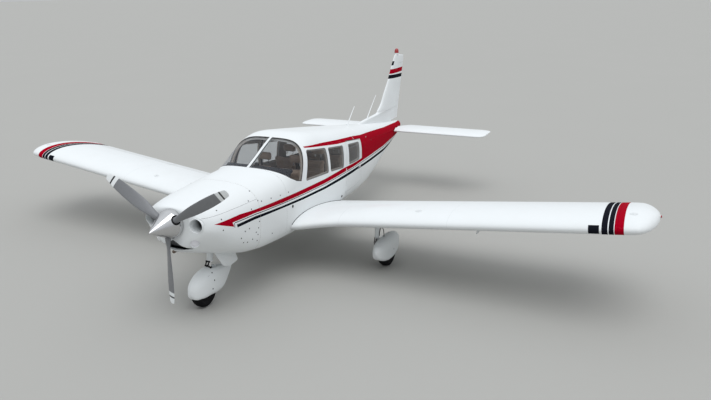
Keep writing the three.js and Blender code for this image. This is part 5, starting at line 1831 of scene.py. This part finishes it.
def build_outside():
    """Fasteners, antennas, handles, hinges, vents, seals, tail lamp, pitot mast, step and compass."""
    radius = bpy.context.scene.aircraft_sizes.fastener_radius / MM
    heads = [(s, z, side, radius, 2.2) for s, z in FASTENERS for side, _ in SIDES]
    buttons("cowl_fasteners", "dark_metal", heads)
    finish(whip("antenna_1", 5595, 1590, 5919, 1879), "plain")
    finish(whip("antenna_2", 6448, 1472, 6972, 1944), "plain")
    for side, name in SIDES:
        root_seal(side, name)
    for door, side, s, z in (("front_door", -1, 3470, 1075), ("rear_door", 1, 4900, 1050)):
        y = skin_y(s, z)
        lever = [(s + aft, side * (y + out), z) for aft, out in ((4, 6), (-20, 15), (-80, 13), (-92, 8))]
        boss = button(s, z, side, 19, 7, 28)
        finish(joined(f"{door}_handle", wire("lever", lever, 7, 12), boss), "chrome", door)
    hinges = (("front_door", -1, 2640, (1060, 1160)), ("rear_door", 1, 4190, (850, 1150)))
    for door, side, s, heights in hinges:
        parts = []
        for z in heights:
            y = side * (skin_y(s, z) + 2)
            parts.append(rod((s, y, z - 28), (s, y, z + 28), 6, sides=16, name="knuckle"))
        finish(joined(f"{door}_hinges", *parts), "plain")
    parts, z = [], 1331
    for s in (1660, 1940):
        y = -skin_y(s, z) - 2
        parts.append(rod((s, y, z), (s + 90, y, z), 5, sides=14, name="knuckle"))
    finish(joined("nose_door_hinges", *parts), "plain")
    buttons("nose_door_latches", "chrome", [(s, 930, -1, 13, 4, 24) for s in (1700, 1990)], "nose_door")
    vents = [(s, z, side, 24, 5, 28) for s, z in ((2328, 1071), (4050, 750)) for side, _ in SIDES]
    buttons("cabin_air_vents", "dark", vents)
    profile = ((-4, 26), (3, 26), (4, 20), (14, 17), (22, 8), (23, 1))
    finish(lathe("tail_lamp", profile, (8225, 0, 1120), (-1, 0, 0), 28), "clear_lamp")
    outline = ((2890, 2996), (2960, 2990), (3010, 2996), (2960, 3002))
    mast = loft("pitot", [[place(s, y, z) for s, y in outline] for z in (-60, -170)])
    mast = joined("pitot_mast", mast, block((2860, 2988, -182), (3010, 3004, -160), "tip", 6))
    mast.data.transform(LIFT)
    finish(mast, "plain")
    step = wire("step", [(4330, 330, 560), (4350, 345, 440), (4350, 395, 415), (4350, 480, 415)], 11, 12)
    pad = block((4320, 400, 424), (4385, 490, 432), "pad", 3)
    finish(joined("boarding_step", step, pad), "steel")
    hook = ((5396, 1440), (5404, 1458), (5416, 1458), (5424, 1440))
    hook = [(s, skin_y(s, z) + 6 * (z > 1450), z) for s, z in hook]
    finish(wire("tail_hook", hook, 4, 8), "steel")
    buttons("tail_latch_covers", "dark_metal", ((5208, 1319, 1, 12, 4, 24), (5704, 1333, 1, 15, 3, 4)))
    finish(block((2392, -28, 1560), (2448, 28, 1612), "compass", 12), "dark")


# Stage

CAMERA_PLACE = (9.9068, 4.8809, 3.9017)
# Yaw, pitch and roll in degrees
CAMERA_TURN = (-148.66, -16.77, -1.75)
PHOTO_WIDTH, PHOTO_FOCUS, PHOTO_SHIFT = 711, 684.8, 100
SENSOR = 36
# The light from the horizon and from high up, as height in the sky and colour
SKY = ((0.0, (0.50, 0.515, 0.53)), (0.85, (0.92, 0.96, 1.0)))


def build_stage():
    """The camera of the photograph, a pale floor and soft light from above."""
    scene = bpy.context.scene
    yaw, pitch, roll = (math.radians(value) for value in CAMERA_TURN)
    forward = Vector((math.cos(yaw) * math.cos(pitch), math.sin(yaw) * math.cos(pitch), math.sin(pitch)))
    right = Vector((math.sin(yaw), -math.cos(yaw), 0))
    up = right.cross(forward)
    across = right * math.cos(roll) + up * math.sin(roll)
    top = up * math.cos(roll) - right * math.sin(roll)
    data = bpy.data.cameras.new("camera")
    data.sensor_width, data.clip_end = SENSOR, 8000
    data.lens, data.shift_x = PHOTO_FOCUS * SENSOR / PHOTO_WIDTH, PHOTO_SHIFT / PHOTO_WIDTH
    camera = linked("camera", data)
    turn = Matrix((across, top, -forward)).transposed().to_4x4()
    camera.matrix_world = Matrix.Translation(CAMERA_PLACE) @ turn
    scene.camera = camera
    bpy.ops.object.select_all(action="DESELECT")
    bpy.ops.mesh.primitive_plane_add(size=8000, location=(0, 0, 0))
    floor = bpy.context.active_object
    floor.name = "studio_floor"
    floor.data.materials.append(LOOKS["floor"])
    bpy.ops.object.light_add(type="SUN", location=(4, -6, 12))
    sun = bpy.context.active_object
    sun.name = "key_light"
    sun.data.energy, sun.data.angle = 1.1, math.radians(50)
    sun.rotation_euler = Vector((0.32, 0.24, 1.0)).to_track_quat("Z", "Y").to_euler()
    scene.world = bpy.data.worlds.new("studio")
    scene.world.use_nodes = True
    nodes, links = scene.world.node_tree.nodes, scene.world.node_tree.links
    kinds = ("TexCoord", "SeparateXYZ", "ValToRGB")
    direction, split, ramp = (nodes.new("ShaderNode" + kind) for kind in kinds)
    for element, (at, colour) in zip(ramp.color_ramp.elements, SKY):
        element.position, element.color = at, (*colour, 1)
    links.new(direction.outputs["Generated"], split.inputs[0])
    links.new(split.outputs["Z"], ramp.inputs[0])
    links.new(ramp.outputs["Color"], nodes["Background"].inputs["Color"])
    scene.view_settings.view_transform = "Standard"


def floor_look(colours):
    """Pale, matt studio floor."""
    sheet = Sheet("studio_floor")
    colour = sheet.shade(sheet.noise(0.35, 5.0) * 0.16, colours.floor, (0.85, 0.85, 0.85))
    return sheet.done(Base_Color=colour, Roughness=0.9, Specular_IOR_Level=0.1)


def duct_look(colours):
    """White paint that darkens down a duct, by station."""
    sheet = Sheet("duct_paint_painted_shade")
    # Painted shade: the white turns nearly black between stations 0.535 m and 0.615 m down the duct.
    painted_depth_shade = sheet.ramp((sheet.axes()[0] - 0.53) / 0.10, 0.05, 0.85)
    return sheet.done(Base_Color=sheet.blend(painted_depth_shade, colours.white, (0.02, 0.02, 0.022)), Roughness=0.4)


LOOKS = {}
# Plainer looks by the function that makes them. Each row: the material's name, tone and roughness.
MATERIALS = {
    metal: {
        "steel": ("bare_steel", (0.42, 0.43, 0.45), 0.35),
        "dark_metal": ("dark_metal", (0.025, 0.025, 0.028), 0.6),
        "exhaust": ("exhaust_steel", (0.20, 0.15, 0.12), 0.55),
        "engine": ("engine_castings", (0.12, 0.12, 0.125), 0.5),
    },
    plastic: {
        "bay": ("bay_paint", (0.16, 0.165, 0.17)), "grey_rubber": ("grey_rubber", (0.16, 0.165, 0.17)),
        "dark": ("dark_plastic", (0.02, 0.02, 0.022)),
        "rubber": ("black_rubber", (0.012, 0.012, 0.013), 0.7),
        "trim": ("seat_shell", (0.16, 0.13, 0.11), 0.55),
        "board": ("panel_paint", (0.10, 0.10, 0.105), 0.55),
        "shield": ("glare_shield", (0.014, 0.015, 0.02), 0.85, 2.0, 400.0),
    },
    lamp_glass: {
        "red_lamp": ("red_lamp", (0.35, 0.008, 0.008)), "green_lamp": ("green_lamp", (0.006, 0.12, 0.03)),
        "clear_lamp": ("clear_lamp", (0.7, 0.7, 0.68)), "bulb": ("bulb_glass", (0.8, 0.8, 0.78)),
        "screen": ("radio_screen", (0.02, 0.05, 0.03)),
    },
}


def prepare_looks(colours):
    """Every material of the aircraft, from the colours in the sidebar."""
    LOOKS.update({
        "hull": hull_paint(colours), "wing": wing_paint(colours),
        # The flaps and ailerons get the wing paint with 8 % painted shade.
        "control": wing_paint(colours, "control_paint_painted_shade", 0.08), "fin": fin_paint(colours),
        "stabilator": tail_paint(colours), "plain": plain_paint(colours),
        "cap": plain_paint(colours, "tank_cap_paint", 0.9),
        "wheel": plain_paint(colours, "wheel_paint", 0.95),
        "blade": blade_paint(colours), "duct": duct_look(colours), "floor": floor_look(colours),
        "polished": polished_metal(), "chrome": polished_metal("chrome", 0.78, 0.12, 0.2),
        "tyre": tyre_rubber(), "leather": leather(colours), "dial": dial_faces(),
        "lining": woven("side_lining", colours.lining), "headliner": woven("headliner", (0.45, 0.43, 0.40)),
        "carpet": woven("carpet", colours.carpet, 300.0),
        "glass": clear("tinted_glass", colours.glass, 0.02, milk=0.95, mirror=1.0),
        "lens": clear("clear_lens", (0.95, 0.95, 0.95), 0.75, 0.15, 0.95),
    })
    for make, rows in MATERIALS.items():
        LOOKS.update({look: make(*row) for look, row in rows.items()})
    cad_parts["engine"].data.materials.clear()
    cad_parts["engine"].data.materials.append(LOOKS["engine"])


# Operators, in the order in which they build
STEPS = (
    build_cowl, build_nose, build_cabin, build_tail_cone, build_wings, build_fin, build_stabilator,
    build_nose_gear, build_main_gear, build_propeller, build_seats, build_panel, build_trim,
    build_outside, build_stage,
)


class AIRCRAFT_OT_looks(bpy.types.Operator):
    """Makes every material from the colours in the sidebar"""

    bl_idname = "aircraft.looks"
    bl_label = "Materials"

    def execute(self, context):
        prepare_looks(context.scene.aircraft_colours)
        return {"FINISHED"}


def operator_for(build):
    """An operator class that runs one building function, named after it."""

    def execute(self, context):
        build()
        return {"FINISHED"}

    name = build.__name__.removeprefix("build_")
    label = name.replace("_", " ").capitalize()
    body = {"__doc__": build.__doc__, "bl_idname": f"aircraft.{name}", "bl_label": label}
    return type(f"AIRCRAFT_OT_{name}", (bpy.types.Operator,), {**body, "execute": execute})


class AIRCRAFT_PT_panel(bpy.types.Panel):
    """The aircraft's colours, sizes and building steps"""

    bl_idname = "AIRCRAFT_PT_panel"
    bl_label = "Light Aircraft"
    bl_space_type = "VIEW_3D"
    bl_region_type = "UI"
    bl_category = "Aircraft"

    def draw(self, context):
        for group in (context.scene.aircraft_colours, context.scene.aircraft_sizes):
            for name in group.bl_rna.properties.keys():
                if name not in ("rna_type", "name"):
                    self.layout.prop(group, name)
        for made in OPERATORS:
            self.layout.operator(made.bl_idname)


OPERATORS = (AIRCRAFT_OT_looks, *map(operator_for, STEPS))
CLASSES = (AircraftColours, AircraftSizes, *OPERATORS, AIRCRAFT_PT_panel)


def register():
    """Adds the classes and the settings to Blender."""
    for made in CLASSES:
        bpy.utils.register_class(made)
    bpy.types.Scene.aircraft_colours = bpy.props.PointerProperty(type=AircraftColours)
    bpy.types.Scene.aircraft_sizes = bpy.props.PointerProperty(type=AircraftSizes)


def unregister():
    """Takes them away again."""
    del bpy.types.Scene.aircraft_colours, bpy.types.Scene.aircraft_sizes
    for made in reversed(CLASSES):
        bpy.utils.unregister_class(made)


def main():
    """Builds the aircraft, step by step, and writes its size."""
    register()
    for made in OPERATORS:
        getattr(bpy.ops.aircraft, made.bl_idname.removeprefix("aircraft."))()


if __name__ == "__main__":
    main()
